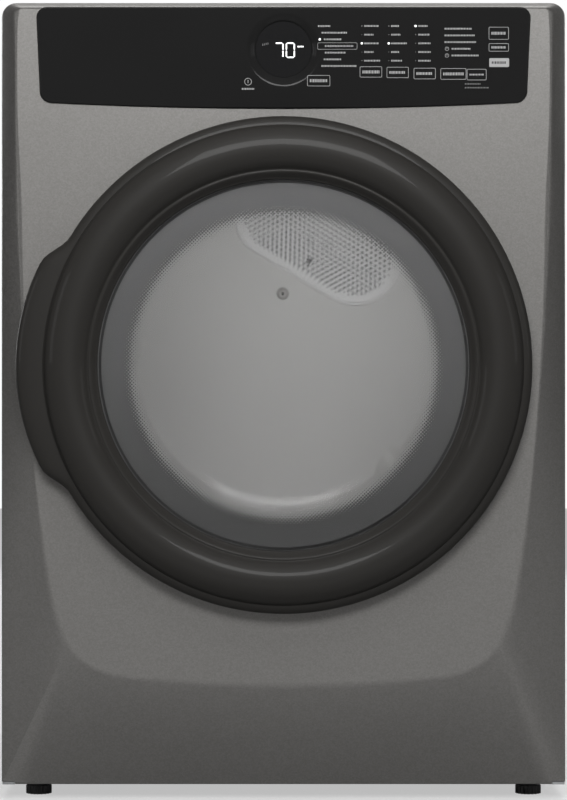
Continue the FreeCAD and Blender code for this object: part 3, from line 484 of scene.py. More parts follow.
# How far the brushing is stretched, by its direction
along_x = (30, 1400, 1400)
along_y = (1400, 30, 1400)
along_z = (1400, 1400, 30)
paint = cabinet_paint()
finishes = {"cabinet_paint": paint}


def add_finish(make, slot, *values, **options):
    """Makes a material and keeps it under its name, which is a slot's name for the CAD nodes."""
    finishes[slot] = make(slot, *values, **options)


add_finish(sheet_metal, "galvanised_steel", (0.56, 0.57, 0.58, 1), 0.42, along_x, spangle=0.35)
add_finish(sheet_metal, "drum_steel", (0.62, 0.61, 0.60, 1), 0.34, along_y, spread=0.25)
add_finish(moulded, "bulkhead_paint", (0.47, 0.468, 0.46, 1), 0.42, spread=0.04, bump=0.05)
# painted shade: near-black for the sheet that stands for the shade behind the grille's holes
add_finish(moulded, "grille_painted_shade", grey(0.08), 0.8)
# painted highlight: the grille is the bulkhead's paint made lighter, for the light that its rim catches
add_finish(moulded, "grille_painted_highlight", grey(0.58), 0.35, spread=0.04, bump=0.05)
add_finish(gloss_plastic, "gloss_black", (0.015, 0.015, 0.015, 1), 0.14, 0.03, shine=0.14)
add_finish(gloss_plastic, "ring_gloss", (0.027, 0.0255, 0.0235, 1), 0.5, 0.1, shine=0.2)
add_finish(moulded, "dark_plastic", grey(0.03), 0.5)
add_finish(moulded, "grey_plastic", (0.36, 0.355, 0.345, 1), 0.45)
add_finish(moulded, "white_plastic", (0.72, 0.71, 0.68, 1), 0.4)
add_finish(gloss_plastic, "display_glass", (0.012, 0.012, 0.0125, 1), 0.08, 0.6)
add_finish(clear_glass, "door_glass", grey(0.96), 0.35, 0.02)
add_finish(clear_glass, "bowl_glass", grey(0.95), 0.25, 0.03)
add_finish(moulded, "lamp_cover", (0.8, 0.8, 0.76, 1), 0.35, Transmission_Weight=0.4)
add_finish(moulded, "seal_rubber", grey(0.022), 0.62, grain_scale=600.0, bump=0.2)
add_finish(moulded, "felt", (0.33, 0.31, 0.28, 1), 0.95, spread=0.15, grain_scale=1500.0, bump=0.9,
           depth=0.6 * mm)
add_finish(moulded, "belt_rubber", grey(0.02), 0.7, grain_scale=700.0, bump=0.3)
add_finish(moulded, "board", (0.02, 0.12, 0.05, 1), 0.3, grain_scale=300.0)
add_finish(sheet_metal, "hinge_metal", grey(0.5), 0.3, along_z)
add_finish(sheet_metal, "screw_metal", (0.56, 0.56, 0.54, 1), 0.32, along_x, spread=0.1)
add_finish(sheet_metal, "motor_metal", (0.33, 0.34, 0.36, 1), 0.45, along_y)
add_finish(sheet_metal, "duct_metal", (0.6, 0.61, 0.62, 1), 0.38, along_y, spangle=0.3)
add_finish(sheet_metal, "heater_metal", (0.5, 0.49, 0.47, 1), 0.45, along_z, spangle=0.15)
add_finish(moulded, "element_wire", (0.09, 0.075, 0.065, 1), 0.6, bump=0.4, Metallic=0.6)
add_finish(moulded, "hose_rubber", grey(0.03), 0.5, bump=0.2)
add_finish(moulded, "foot_plastic", grey(0.055), 0.5, bump=0.2)
print_white = moulded("print_white", grey(0.42), 0.5, bump=0.02)
print_dim = moulded("print_dim", grey(0.16), 0.5, bump=0.02)
lit_white = lit_mark("lit_white", 0.9)
# painted highlight: a lighter, shinier metal than the cabinet paint, for the bright line on the panel's
# edge round the fascia
edge_highlight_metal = sheet_metal("edge_highlight_metal", (0.42, 0.41, 0.40, 1), 0.25, along_x, spread=0.08)


def dress_nodes():
    """Gives every CAD node the finish of its material slot."""
    for part in frame["record"]["subparts"]:
        mesh = nodes[part["node"]].data
        mesh.materials.clear()
        mesh.materials.append(finishes[part["material_slot"]])


# -------------------- front panel

crease_top_x = 324.8 * mm
crease_top_z = 961.0 * mm
crease_corner = 8.0 * mm
corner_ease = 0.7               # spreads the rim's points wider towards the bottom corners
cabinet_corner = 18.0 * mm
# The crease from its top corner down to the bottom corner, and on to the middle, in millimetres
crease_side = [(324.8, 953.0), (324.5, 900.0), (323.6, 813.0), (319.4, 670.0), (312.7, 529.0),
               (303.6, 410.0), (294.8, 327.0), (279.5, 232.0), (262.0, 188.0)]
crease_low = [(262.0, 188.0), (246.0, 170.0), (216.0, 153.8), (177.0, 147.0), (90.0, 140.5),
              (0.0, 138.3)]
recess_radius = 288 * mm
recess_floor_y = face_y + 8 * mm
neck_radius = 218 * mm
sheet = 1.2 * mm
crease_softness = 4.5 * mm
latch_x = -262 * mm
notch_middle = 7 * mm           # of the foot notches, inwards from the panel's sides


def crease_and_rim():
    """The raised face's crease and the panel's rim, point for point, down the right half."""
    crease_z = crease_top_z - crease_corner
    rim_z = top_z - cabinet_corner
    crease = [(x * crease_top_x, crease_top_z) for x in (0.0, 0.25, 0.5, 0.75)]
    rim = [(x * half_width, top_z) for x in (0.0, 0.25, 0.5, 0.75)]
    crease += arc(crease_top_x - crease_corner, crease_z, crease_corner, 90, 0, 8)
    rim += arc(half_width - cabinet_corner, rim_z, cabinet_corner, 90, 0, 8)
    side = metres(flowing(crease_side, 4))
    low = metres(flowing(crease_low, 5))
    crease += side[1:] + low[1:]
    for step in range(1, len(side)):
        left = (1 - step / (len(side) - 1)) ** corner_ease
        rim.append((half_width, base_z + (rim_z - base_z) * left))
    for step in range(1, len(low)):
        passed = (step / (len(low) - 1)) ** corner_ease
        rim.append((half_width * (1 - passed), base_z))
    return mirrored_line(crease), mirrored_line(rim)


def panel_rows():
    """Rows of the pressed front: soft over the crease, straight to the rim, then back to the seam."""
    crease, rim = crease_and_rim()
    fall = edge_y - face_y
    rows = []
    for stage in (-1.0, -0.5, 0.0, 0.5, 1.0, 1.6):
        points, depths = [], []
        for (cx, cz), (rx, rz) in zip(crease, rim):
            width = math.hypot(rx - cx, rz - cz)
            soft = min(0.3 * width, crease_softness)
            reach = stage * soft
            slope = fall / width
            points.append((cx + (rx - cx) * reach / width, cz + (rz - cz) * reach / width))
            bend = min(max(reach, -soft), soft) + soft
            depths.append(face_y + slope * (bend * bend / (4 * soft) + max(reach - soft, 0.0)))
        rows.append((points, depths))
    for inward, back in ((2.2, 0.0), (0.7, 0.7), (0.0, 2.6)):
        points, depths = [], []
        for (cx, cz), (rx, rz) in zip(crease, rim):
            width = math.hypot(rx - cx, rz - cz)
            share = 1 - min(inward * mm / width, 0.35)
            points.append((cx + (rx - cx) * share, cz + (rz - cz) * share))
            depths.append(face_y + fall * share + back * mm)
        rows.append((points, depths))
    rows.append((rim, [seam_y] * len(rim)))
    return rows


def console_line(inset):
    """Outline of the control fascia: rounded corners, narrower and bowed at the bottom."""
    top = fascia_high.x - inset
    low = top - 4 * mm
    high_z = fascia_high.z - inset
    low_z = fascia_low.z + 6.8 * mm + inset
    bow_z = fascia_low.z + inset
    top_radius = 12.6 * mm - inset / 2
    low_radius = 14 * mm - inset / 2
    half = [(x * top, high_z) for x in (0.0, 0.3, 0.6, 0.85)]
    half += arc(top - top_radius, high_z - top_radius, top_radius, 90, 0, 8)
    half += arc(low - low_radius, low_z + low_radius, low_radius, 0, -88, 8)
    end_x, end_z = half[-1]
    for share in (0.85, 0.65, 0.45, 0.25, 0.0):
        half.append((end_x * share, bow_z + (end_z - bow_z) * share * share))
    return mirrored_line(half)


def turned_in(radius, y, bend):
    """A quarter bend from a flat face into a round wall, as (radius, y) points."""
    turns = [math.radians(angle) for angle in range(0, 91, 15)]
    return [(radius + bend * (1 - math.sin(turn)), y + bend * (1 - math.cos(turn))) for turn in turns]


def front_panel():
    """Pressed front sheet with its door recess, drum neck, fascia opening, latch and foot notches."""
    bm = bmesh.new()
    rows = [add_loop(bm, points, depths) for points, depths in panel_rows()]
    bridge(bm, rows)
    flat_radius = recess_radius + 9 * mm
    recess = [(flat_radius, face_y)] + turned_in(recess_radius, face_y, 5 * mm)
    recess += [(recess_radius - 0.5 * mm, recess_floor_y - 1 * mm),
               (recess_radius - 1.5 * mm, recess_floor_y), (250 * mm, recess_floor_y)]
    recess += turned_in(neck_radius, recess_floor_y, 14 * mm) + [(neck_radius, face_y + 30 * mm)]
    lathe(bm, recess, 0, door_z, steps=144, closed=False)
    hole = circle_edges(bm, flat_radius, face_y, 0, door_z)
    inner = add_loop(bm, console_line(4 * mm), face_y)
    lip = add_loop(bm, console_line(4 * mm), face_y + 6 * mm)
    bridge(bm, [inner, lip])
    fill(bm, rows[0] + hole + inner)
    panel = thicken(finish_mesh(bm, "front_panel_skin", paint), sheet)
    cutter = bmesh.new()
    near, far = recess_floor_y - 2 * mm, recess_floor_y + 5 * mm
    add_box(cutter, latch_x - 6.5 * mm, latch_x + 6.5 * mm, near, far, door_z - 16 * mm,
            door_z + 16 * mm)
    add_rod(cutter, 4.2 * mm, near, far, latch_x, door_z + 62 * mm)
    for side in (-1, 1):
        x = side * (half_width - notch_middle)
        add_box(cutter, x - 9.5 * mm, x + 9.5 * mm, face_y - 2 * mm, seam_y + 1 * mm, base_z - 1 * mm,
                base_z + 3.5 * mm)
    cut_away(panel, cutter)
    place(panel, "cabinet", "cabinet_paint", "front_panel")


# -------------------- console

# The surround of the display from its rim inwards, as (radius, depth) in millimetres
dial_dish = [(45.0, 0.0), (43.7, 0.15), (42.0, 0.75), (39.5, 2.1), (36.8, 3.6), (34.6, 4.7),
             (33.9, 5.6), (33.9, 9.0), (36.0, 9.0)]


def console_fascia():
    """Gloss front of the controls with rounded edges and the dished surround of the display."""
    bm = bmesh.new()
    front = fascia_low.y
    edge = 1.3 * mm
    loops = []
    for angle in (0, 30, 60, 90):
        turn = math.radians(angle)
        line = console_line(edge * (1 - math.sin(turn)))
        loops.append(add_loop(bm, line, front + edge * (1 - math.cos(turn))))
    loops.append(add_loop(bm, console_line(0.0), face_y))
    loops.append(add_loop(bm, console_line(6.5 * mm), face_y + 0.8 * mm))
    bridge(bm, loops)
    dish = [(radius, front + depth) for radius, depth in metres(dial_dish)]
    lathe(bm, dish, 0, dial_z, steps=96, closed=False)
    fill(bm, loops[0] + circle_edges(bm, dish[0][0], front, 0, dial_z))
    made = thicken(finish_mesh(bm, "console_front", finishes["gloss_black"]), 0.8 * mm)
    place(made, "cabinet", "gloss_black", "console_fascia")


def fascia_edge_highlight():
    """Thin bright line of the panel's turned edge round the fascia: a lighter, shinier metal than the
    panel's paint, as a painted highlight.
    """
    bm = bmesh.new()
    section = [(-0.9, -0.1), (-0.4, -0.6), (0.05, -0.3), (-0.5, 0.2)]
    loops = [add_loop(bm, console_line(inset), face_y + depth) for inset, depth in metres(section)]
    bridge(bm, loops + loops[:1])
    place(finish_mesh(bm, "fascia_edge_highlight", edge_highlight_metal), "cabinet", "cabinet_paint")


ink_near = 0.12 * mm            # how far a printed mark stands out
ink_far = 0.1 * mm              # how far it reaches in
# A caption's blocks and the gap between them, in millimetres
stroke_widths = (1.5, 0.9, 1.7, 1.2, 1.4, 1.0)
stroke_gap = 0.65


def mark(bm, x0, x1, z0, z1, depth=fascia_low.y):
    """A thin printed bar on the fascia, given in millimetres."""
    add_box(bm, x0 * mm, x1 * mm, depth - ink_near, depth + ink_far, z0 * mm, z1 * mm)


def word(bm, x, z, width, height=2.0, depth=fascia_low.y):
    """A row of small upright blocks in place of a printed caption."""
    end = x + width
    count = 0
    while x + 0.8 < end:
        stroke = min(stroke_widths[count % len(stroke_widths)], end - x)
        mark(bm, x, x + stroke, z - height / 2, z + height / 2, depth)
        x += stroke + stroke_gap
        count += 1


def frame_line(bm, x0, x1, z0, z1, line=0.55, corner=1.4):
    """A printed rounded rectangle line, given in millimetres."""
    loops = []
    for inset in (0.0, line):
        radius = corner - inset
        points = []
        for cx, cz, start in ((x1 - corner, z1 - corner, 90), (x1 - corner, z0 + corner, 0),
                              (x0 + corner, z0 + corner, -90), (x0 + corner, z1 - corner, -180)):
            points += metres(arc(cx, cz, radius, start, start - 90, 3))
        loops.append(points)
    near = fascia_low.y - ink_near
    far = fascia_low.y + ink_far
    ring = [add_loop(bm, loops[0], near), add_loop(bm, loops[1], near), add_loop(bm, loops[1], far),
            add_loop(bm, loops[0], far)]
    bridge(bm, ring + ring[:1])


def ring_mark(bm, x, z, radius, line):
    """A printed ring, given in millimetres."""
    outside, inside = radius * mm, (radius - line) * mm
    near, far = fascia_low.y - ink_near, fascia_low.y + ink_far
    section = [(outside, near), (inside, near), (inside, far), (outside, far)]
    lathe(bm, section, x * mm, z * mm, steps=24)


# Printed layout of the fascia in millimetres, X from the middle and Z from the floor.
caption_radius = 50.3           # the cycle captions start on a circle round the display
cycle_first = 27.9
cycle_pitch = 8.05
cycle_widths = (15.8, 31.3, 21.5, 34.3, 26.0, 22.3, 42.2)
lit_cycle = 2
cycle_lamp_x = 43.9
setting_first_z = 938.0
setting_pitch = 10.5
# caption X, lamp X, caption widths, lit row
settings = [(97.9, 94.8, (18.4, 11.2, 18.4, 10.8, 18.8), 2),
            (130.4, 127.4, (9.2, 11.2, 18.7, 9.7, 12.9), 2),
            (163.3, 159.8, (11.2, 13.8, 14.6, 14.6, 14.6), 0)]
option_x = 195.0
option_first_z = 934.7
option_pitch = 8.1
option_widths = (32.5, 37.2, 39.1, 32.2, 41.5)
first_icon_row = 3
# X from, X to, Z from, Z to, and the caption's height
pads = [(28.7, 56.4, 865.1, 878.5, 3.6), (92.3, 119.2, 875.8, 889.0, 3.6),
        (124.9, 151.4, 875.2, 888.4, 3.2), (157.6, 184.1, 873.7, 887.2, 3.2),
        (190.0, 221.2, 873.2, 886.8, 3.4), (221.9, 245.6, 872.4, 885.9, 2.0),
        (248.4, 272.6, 921.6, 936.8, 3.4), (248.4, 272.6, 907.2, 917.0, 2.8)]
pad_margin = 3.2
lit_pad_x = (249.0, 273.0)
lit_pad_z = (888.4, 899.0)
power_x = -42.9
power_z = 870.6
lamp_radius = 1.35 * mm


def console_print():
    """Captions as rows of small blocks, pad outlines and icons, all in pale ink."""
    bm = bmesh.new()
    dial = dial_z / mm
    for row, width in enumerate(cycle_widths):
        rise = cycle_first - row * cycle_pitch
        word(bm, math.sqrt(caption_radius ** 2 - rise ** 2), dial + rise, width)
    frame_line(bm, 41.2, 89.2, 909.6, 917.9, line=0.4)
    for caption_x, lamp_x, widths, lit in settings:
        for row, width in enumerate(widths):
            z = setting_first_z - row * setting_pitch
            word(bm, caption_x, z, width)
            if row != lit:
                mark(bm, lamp_x - 0.35, lamp_x + 0.35, z - 0.35, z + 0.35)
    for row, width in enumerate(option_widths):
        z = option_first_z - row * option_pitch
        start = option_x
        if row >= first_icon_row:
            ring_mark(bm, option_x + 2.8, z, 2.4, 0.5)
            mark(bm, option_x + 2.5, option_x + 3.1, z - 0.2, z + 1.5)
            start += 8.5
        word(bm, start, z, width - (start - option_x))
    for x0, x1, z0, z1, height in pads:
        frame_line(bm, x0, x1, z0, z1)
        word(bm, x0 + pad_margin, (z0 + z1) / 2, x1 - x0 - 2 * pad_margin, height)
    ring_mark(bm, power_x, power_z, 4.5, 0.7)
    mark(bm, power_x - 0.4, power_x + 0.4, power_z - 1.7, power_z + 2.0)
    word(bm, power_x - 7.4, power_z - 8.7, 14.8)
    place(finish_mesh(bm, "console_print", print_white), "cabinet", "gloss_black")

    bm = bmesh.new()
    for z, width in ((867.9, 20.0), (863.3, 29.0)):
        word(bm, 219.5, z, width, 1.6)
    for step in range(4):
        rise = 0.5 * step
        mark(bm, -25.6 + 2.1 * step, -24.7 + 2.1 * step, 914.4 + rise, 916.8 + rise, lens_low.y)
    place(finish_mesh(bm, "console_notes", print_dim), "cabinet", "gloss_black")


def lit_pad():
    """The one pad that is filled with light, with a dark caption."""
    bm = bmesh.new()
    face = fascia_low.y - 0.15 * mm
    add_box(bm, lit_pad_x[0] * mm, lit_pad_x[1] * mm, face, fascia_low.y + ink_far,
            lit_pad_z[0] * mm, lit_pad_z[1] * mm)
    deep = [edge for edge in bm.edges if abs(edge.verts[0].co.y - edge.verts[1].co.y) > 1e-5]
    bmesh.ops.bevel(bm, geom=deep, offset=1.2 * mm, offset_type="OFFSET", segments=4, profile=0.5,
                    affect="EDGES", material=-1)
    place(finish_mesh(bm, "lit_pad", print_white), "cabinet", "gloss_black")
    bm = bmesh.new()
    word(bm, lit_pad_x[0] + 3, sum(lit_pad_z) / 2, 18, 3.0, face)
    place(finish_mesh(bm, "lit_pad_caption", finishes["dark_plastic"]), "cabinet", "gloss_black")


def segment(bm, x, z, length, upright, depth):
    """One bar of a seven-segment digit, pointed at both ends."""
    half = 0.85
    end = length / 2
    line = [(-end, 0), (half - end, half), (end - half, half), (end, 0), (end - half, -half),
            (half - end, -half)]
    points = metres([(x + b, z + a) if upright else (x + a, z + b) for a, b in line])
    face = bm.faces.new([bm.verts.new((px, depth - 0.1 * mm, pz)) for px, pz in points])
    push_back(bm, bmesh.ops.extrude_face_region(bm, geom=[face])["geom"], 0.15 * mm)


segments_of = {"7": "abc", "0": "abcdef"}
digit_width = 9.6
digit_height = 17.2


def digits():
    """The time left, on the display, with its unit as a row of blocks."""
    bm = bmesh.new()
    depth = lens_low.y
    middle = 909.0
    spots = {"a": (0, 1, False), "b": (0.5, 0.5, True), "c": (0.5, -0.5, True), "d": (0, -1, False),
             "e": (-0.5, -0.5, True), "f": (-0.5, 0.5, True)}
    for digit, x in (("7", -5.4), ("0", 8.3)):
        for name in segments_of[digit]:
            across, up, upright = spots[name]
            length = digit_height / 2 - 0.6 if upright else digit_width - 0.9
            segment(bm, x + across * digit_width, middle + up * digit_height / 2, length, upright,
                    depth)
    word(bm, 17.0, 913.4, 7.6, 1.9, depth)
    lamps = [(lamp_x, setting_first_z - lit * setting_pitch) for _, lamp_x, _, lit in settings]
    lamps.append((cycle_lamp_x, dial_z / mm + cycle_first - lit_cycle * cycle_pitch))
    for x, z in metres(lamps):
        add_rod(bm, lamp_radius, fascia_low.y - 0.2 * mm, fascia_low.y + ink_far, x, z, 16)
    place(finish_mesh(bm, "display_digits", lit_white), "cabinet", "display_glass")


# -------------------- door

ring_radius = (ring_high.z - ring_low.z) / 2
step_radius = 289 * mm
grip_reach = 22.6 * mm
grip_under_y = -371.5 * mm
grip_full_angle = 23
grip_end_angle = 31
hinge_y = -375 * mm
knuckle_offset = 35 * mm        # of each hinge knuckle from the door's middle
# Outside of the ring from its back to the window, then its inside, as (radius, y) in millimetres
ring_outside = [(288.6, -361.0), (293.5, -361.8), (296.6, -364.5), (298.4, -370.6)]
ring_rim = [(298.8, -371.8), (300.0, -374.5), (300.0, -380.0), (299.2, -384.5), (296.6, -388.2),
            (292.8, -390.3), (289.4, -391.0)]
ring_face = [(288.2, -392.6), (286.4, -396.2), (283.0, -399.4), (276.0, -403.3), (268.0, -405.6),
             (260.0, -406.4), (252.0, -405.4), (245.0, -402.6), (239.5, -398.8), (236.4, -395.4)]
ring_lip = [(235.2, -395.0), (233.8, -395.4), (232.0, -395.0), (229.0, -392.6), (226.0, -389.8),
            (224.2, -388.8), (224.0, -388.2)]
ring_inside = [(232.5, -388.2), (240.0, -392.0), (250.0, -398.0), (260.0, -400.5), (268.0, -399.5),
               (277.0, -394.5), (284.0, -386.0), (287.6, -378.0), (287.6, -368.0), (286.6, -361.0)]


def grip_swell(angle):
    """How far the rim stands out, by the angle in degrees from the left of the ring."""
    fade = smooth_step(grip_end_angle, grip_full_angle, abs(angle))
    return grip_reach * (1 - 0.22 * (angle / grip_full_angle) ** 2) * fade


def hinge_room(rear_y):
    """Closed forms that clear the cabinet's knuckles and their webs as the door swings."""
    cutter = bmesh.new()
    for side in (-1, 1):
        middle = door_z + side * knuckle_offset
        add_box(cutter, 258 * mm, ring_radius + 5 * mm, hinge_y - 2.8 * mm, rear_y,
                middle - 13.5 * mm, middle + 13.5 * mm)
    return cutter


def door_ring():
    """Gloss door moulding: one turned form whose rim swells into the grip on the left."""
    bm = bmesh.new()
    profile = ring_outside + flowing(ring_rim, 3) + flowing(ring_face, 3) + flowing(ring_lip, 3)
    lathe(bm, metres(profile + ring_inside), 0, door_z, steps=240)
    for v in bm.verts:
        radius = math.hypot(v.co.x, v.co.z - door_z)
        if radius > step_radius and v.co.y < grip_under_y:
            angle = math.degrees(math.atan2(v.co.z - door_z, -v.co.x))
            swell = grip_swell(angle) * (radius - step_radius) / (ring_radius - step_radius)
            grown = (radius + swell) / radius
            v.co.x *= grown
            v.co.z = door_z + (v.co.z - door_z) * grown
    made = finish_mesh(bm, "door_moulding", finishes["ring_gloss"])
    cut_away(made, hinge_room(ring_high.y + 5 * mm))
    place(made, "door", "ring_gloss", "door_ring")


def window_print():
    """The printed border on the back of the outer glass, its grey painted lighter towards the top as
    painted light.
    """
    bm = bmesh.new()
    outside, inside = 223.8 * mm, 172 * mm
    near, far = glass_high.y + 0.1 * mm, glass_high.y + 0.2 * mm
    lathe(bm, [(outside, near), (inside, near), (inside, far), (outside, far)], 0, door_z)
    place(finish_mesh(bm, "window_print", printed_border()), "door", "door_glass")


def glass_bowl():
    """The pressed inner bowl, with soft bends and an even wall."""
    bm = bmesh.new()
    back = bowl_back / mm
    outside = [(0.0, back), (80.0, back), (150.0, back), (172.0, back - 3), (187.0, back - 12),
               (197.0, back - 26), (203.5, back - 40), (209.0, back - 43.4), (219.0, back - 43.6)]
    inside = [(219.0, back - 46.6), (205.0, back - 46.4), (199.5, back - 42), (193.0, back - 27),
              (184.0, back - 14.5), (170.0, back - 7), (150.0, back - 4), (80.0, back - 4),
              (0.0, back - 4)]
    profile = [(max(radius, 0.0), y) for radius, y in flowing(outside, 4) + flowing(inside, 4)]
    lathe(bm, metres(profile), 0, door_z, closed=False)
    place(finish_mesh(bm, "window_bowl", finishes["bowl_glass"]), "door", "bowl_glass",
          "inner_glass_bowl")


# -------------------- drum back

# Outline of the air grille: a line stretched round five circles, as (x, z, radius) in millimetres
grille_corners = [(-16.5, 718.4, 46.0), (99.1, 664.2, 60.0), (124.0, 770.0, 35.0), (60.0, 812.0, 35.0),
                  (-27.5, 824.0, 35.0)]
grille_slant = math.radians(-31.4)
grille_middle = (48.0, 725.0)
grille_pitch = 7.2
grille_hole = 2.1
grille_margin = 9.0
grille_rows = range(-22, 23)
grille_columns = range(-24, 25)
screw_x = 35 * mm
screw_z = 661 * mm


def grille_sides(offset):
    """The tangent lines of the grille's outline as (touching point, outward direction)."""
    sides = []
    following = grille_corners[1:] + grille_corners[:1]
    for (x, z, radius), (next_x, next_z, next_radius) in zip(grille_corners, following):
        apart = math.hypot(next_x - x, next_z - z)
        heading = math.atan2(next_z - z, next_x - x) - math.asin((next_radius - radius) / apart)
        outward = (math.sin(heading), -math.cos(heading))
        reach = radius + offset
        sides.append(((x + outward[0] * reach, z + outward[1] * reach), outward))
    return sides


def grille_outline(offset, steps=8):
    """Points round the grille: an arc at each circle between its two tangent lines."""
    sides = grille_sides(offset)
    points = []
    for index, (x, z, radius) in enumerate(grille_corners):
        before = sides[index - 1][1]
        after = sides[index][1]
        start = math.degrees(math.atan2(before[1], before[0]))
        end = math.degrees(math.atan2(after[1], after[0]))
        if end < start:
            end += 360
        points += arc(x, z, radius + offset, start, end, steps)
    return points


def inside_grille(x, z, margin):
    """True if a point lies inside the outline by a margin."""
    outline = grille_outline(-margin)
    for (x0, z0), (x1, z1) in zip(outline, outline[1:] + outline[:1]):
        if (x1 - x0) * (z - z0) - (z1 - z0) * (x - x0) < 0:
            return False
    return True


def grille_cells(bm, y):
    """Six-sided cells that tile the plate, with a hole in each that is clear of the rim."""
    row_height = grille_pitch * math.sin(math.radians(60))
    slant = math.degrees(grille_slant)
    hole_edges = []
    for row in grille_rows:
        for column in grille_columns:
            along = (column + 0.5 * (row % 2)) * grille_pitch
            up = row * row_height
            x = grille_middle[0] + along * math.cos(grille_slant) - up * math.sin(grille_slant)
            z = grille_middle[1] + along * math.sin(grille_slant) + up * math.cos(grille_slant)
            if not inside_grille(x, z, -grille_pitch):
                continue
            cell = arc(x, z, grille_pitch / math.sqrt(3), slant + 30, slant + 330, 5)
            edges = add_loop(bm, metres(cell), y)
            if inside_grille(x, z, grille_margin):
                hole = arc(x, z, grille_hole, slant + 30, slant + 345, 7)
                rim = add_loop(bm, metres(hole), y)
                hole_edges += rim
                edges += rim
            fill(bm, edges)
    return hole_edges


def air_grille():
    """Pressed grille: a plate with a raised rim and staggered holes, painted lighter than the bulkhead
    as a painted highlight, with a near-black sheet behind the holes as painted shade.
    """
    bm = bmesh.new()
    front = grille_low.y + 1.2 * mm
    back = grille_high.y
    hole_edges = grille_cells(bm, front)
    push_back(bm, bmesh.ops.extrude_edge_only(bm, edges=hole_edges)["geom"], 1.4 * mm)
    bmesh.ops.remove_doubles(bm, verts=bm.verts, dist=2e-6)
    edge_line = grille_outline(0.6, 6)
    for (x0, z0), (x1, z1) in zip(edge_line, edge_line[1:] + edge_line[:1]):
        apart = math.hypot(x1 - x0, z1 - z0)
        if apart < 0.01:
            continue
        bmesh.ops.bisect_plane(bm, geom=bm.verts[:] + bm.edges[:] + bm.faces[:], dist=1e-7,
                               plane_co=(x0 * mm, front, z0 * mm),
                               plane_no=((z1 - z0) / apart, 0, -(x1 - x0) / apart), clear_outer=True)
    rim = [(5.0, back), (5.0, front + 1.0 * mm), (4.2, front - 0.9 * mm), (2.6, front - 1.2 * mm),
           (1.0, front - 0.7 * mm), (0.0, front + 0.1 * mm)]
    bridge(bm, [add_loop(bm, metres(grille_outline(offset)), y) for offset, y in rim])
    # The plate takes a lighter copy of the bulkhead paint, a painted highlight for the light on its
    # rim.
    place(finish_mesh(bm, "grille_plate", finishes["grille_painted_highlight"]), "cabinet", "bulkhead_paint",
          "air_grille")
    # A near-black sheet behind the holes stands for the shade behind them: painted shade.
    bm = bmesh.new()
    painted_shade_sheet = [add_loop(bm, metres(grille_outline(offset)), y) for offset, y in
               ((0.5, back - 0.1 * mm), (0.5, front + 1.9 * mm), (0.3, front + 1.8 * mm))]
    bridge(bm, painted_shade_sheet)
    fill(bm, painted_shade_sheet[-1])
    place(finish_mesh(bm, "grille_shade", finishes["grille_painted_shade"]), "cabinet", "bulkhead_paint")
    bm = bmesh.new()
    head = metres([(0.0, -1.4), (2.2, -1.2), (3.6, -0.4), (3.9, 0.4), (0.0, 0.4)])
    lathe(bm, [(radius, front + depth) for radius, depth in head], screw_x, screw_z, steps=24,
          closed=False)
    place(finish_mesh(bm, "grille_screw", finishes["dark_plastic"]), "cabinet", "screw_metal")


# -------------------- back of the cabinet

# Each rib as (X, lowest Z, highest Z), and its section as (half width, height), in millimetres
ribs = [(-225, 420, 735), (-75, 420, 900), (75, 420, 900), (225, 180, 900)]
rib_section = [(14, -0.3), (13.5, 0.1), (9, 1.6), (6, 2.2)]
rib_end = rib_section[0][0]


def rear_ribs():
    """Raised ribs pressed into the rear panel above the louvres."""
    bm = bmesh.new()
    for x, low_z, high_z in ribs:
        loops = []
        for half, rise in rib_section:
            outline = arc(x, high_z - rib_end, half, 0, 180, 12)
            outline += arc(x, low_z + rib_end, half, 180, 360, 12)
            loops.append(add_loop(bm, metres(outline), rear_skin + rise * mm))
        bridge(bm, loops)
        fill(bm, loops[-1], 1)
        fill(bm, loops[0], -1)
    place(finish_mesh(bm, "rear_ribs", finishes["galvanised_steel"], sharp=60), "cabinet",
          "galvanised_steel")


# -------------------- stage

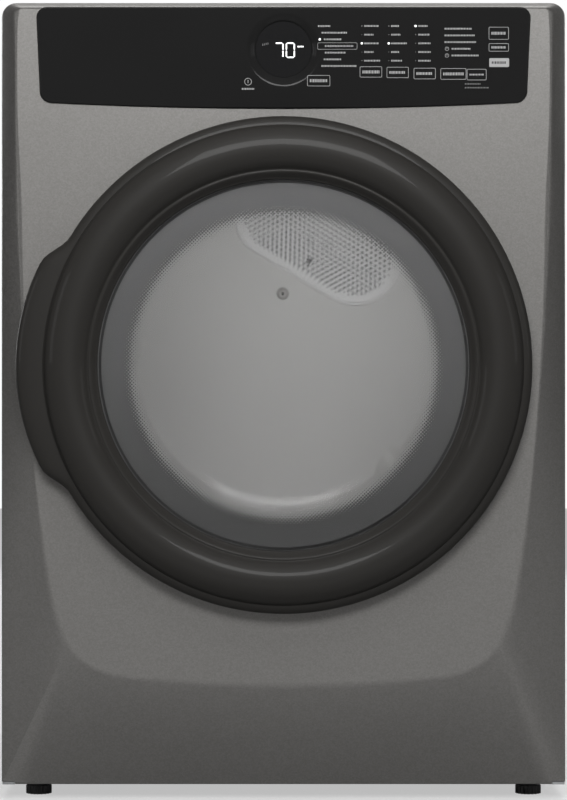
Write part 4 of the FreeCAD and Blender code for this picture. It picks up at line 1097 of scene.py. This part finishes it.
def stage():
    """Pale floor and surroundings, and the soft studio lights."""
    bm = bmesh.new()
    bmesh.ops.create_grid(bm, x_segments=1, y_segments=1, size=6.0)
    floor_finish = moulded("floor", grey(0.27), 0.7, spread=0.02, grain_scale=40.0, bump=0.02)
    tree = floor_finish.node_tree
    seen = add_node(tree, "LightPath").outputs["Is Camera Ray"]
    lift = add_node(tree, "Math", {0: seen, 1: 0.5}, operation="MULTIPLY")
    set_inputs(tree, tree.nodes["Principled BSDF"],
               {"Emission Color": grey(1.0), "Emission Strength": lift.outputs[0]})
    finish_mesh(bm, "floor", floor_finish)

    world = bpy.data.worlds.new("studio")
    world.use_nodes = True
    tree = world.node_tree
    seen = add_node(tree, "LightPath").outputs["Is Camera Ray"]
    strength = add_node(tree, "MapRange", {"Value": seen, "To Min": 0.07, "To Max": 1.0})
    set_inputs(tree, tree.nodes["Background"],
               {"Color": grey(1.0), "Strength": strength.outputs["Result"]})
    bpy.context.scene.world = world

    soft_light("front_softbox", (0.1, -5.0, 2.95), (0, face_y, 0.9), 2.6, 1.5, 136)
    key = soft_light("key_softbox", (0.1, -1.6, 2.3), (0, face_y, 0.85), 1.5, 0.6, 24)
    key.visible_glossy = False
    for side in (-1, 1):
        soft_light(f"side_fill_{side}", (side * 3.2, 3.6, 1.3), (side * half_width, 0.1, 0.5), 1.3,
                   1.4, 26)
    soft_light("left_strip", (-3.4, -2.2, 1.2), (0, face_y, 0.7), 0.7, 1.4, 7)
    soft_light("right_strip", (3.4, -2.2, 1.2), (0, face_y, 0.7), 0.7, 1.4, 5)
    soft_light("top_softbox", (0, 0.9, 2.9), (0, 0.1, 0.6), 2.2, 1.2, 24)
    soft_light("back_fill", (0.4, 3.4, 1.1), (0, 0.3, 0.5), 2.2, 1.2, 30)
    glow = soft_light("drum_fill", (0.05, -0.2, 0.62), (0, 0.26, 0.62), 0.3, 0.3, 1.35)
    bounce = soft_light("floor_bounce", (0, -1.0, 0.02), (0, -0.6, 1.0), 1.3, 0.35, 0.4)
    bounce.visible_camera = False
    glow.visible_camera = False
    glow.visible_glossy = False


def soft_light(name, position, target, width, height, power):
    """A rectangular area light that faces a target."""
    light = bpy.data.lights.new(name, "AREA")
    light.shape = "RECTANGLE"
    light.size = width
    light.size_y = height
    light.energy = power
    lamp = add_object(name, light)
    lamp.location = position
    lamp.rotation_euler = (Vector(target) - Vector(position)).to_track_quat("-Z", "Y").to_euler()
    return lamp


def camera():
    """Straight on to the front, a little above the door, shifted to frame the whole front."""
    distance = 4.42
    framed_depth = 0.012        # behind the face, where the framed height is measured
    framed_height = 0.9714
    framed_middle = 0.485
    height = 0.6
    data = bpy.data.cameras.new("camera")
    data.sensor_width = 36
    data.lens = data.sensor_width * (distance + framed_depth) / framed_height
    data.shift_y = (framed_middle - height) / framed_height
    made = add_object("camera", data)
    made.location = (0, face_y - distance, height)
    made.rotation_euler = (math.pi / 2, 0, 0)
    bpy.context.scene.camera = made
    bpy.context.scene.view_settings.view_transform = "Standard"


dress_nodes()
camera()
stage()
front_panel()
console_fascia()
fascia_edge_highlight()
console_print()
lit_pad()
digits()
door_ring()
window_print()
glass_bowl()
air_grille()
rear_ribs()
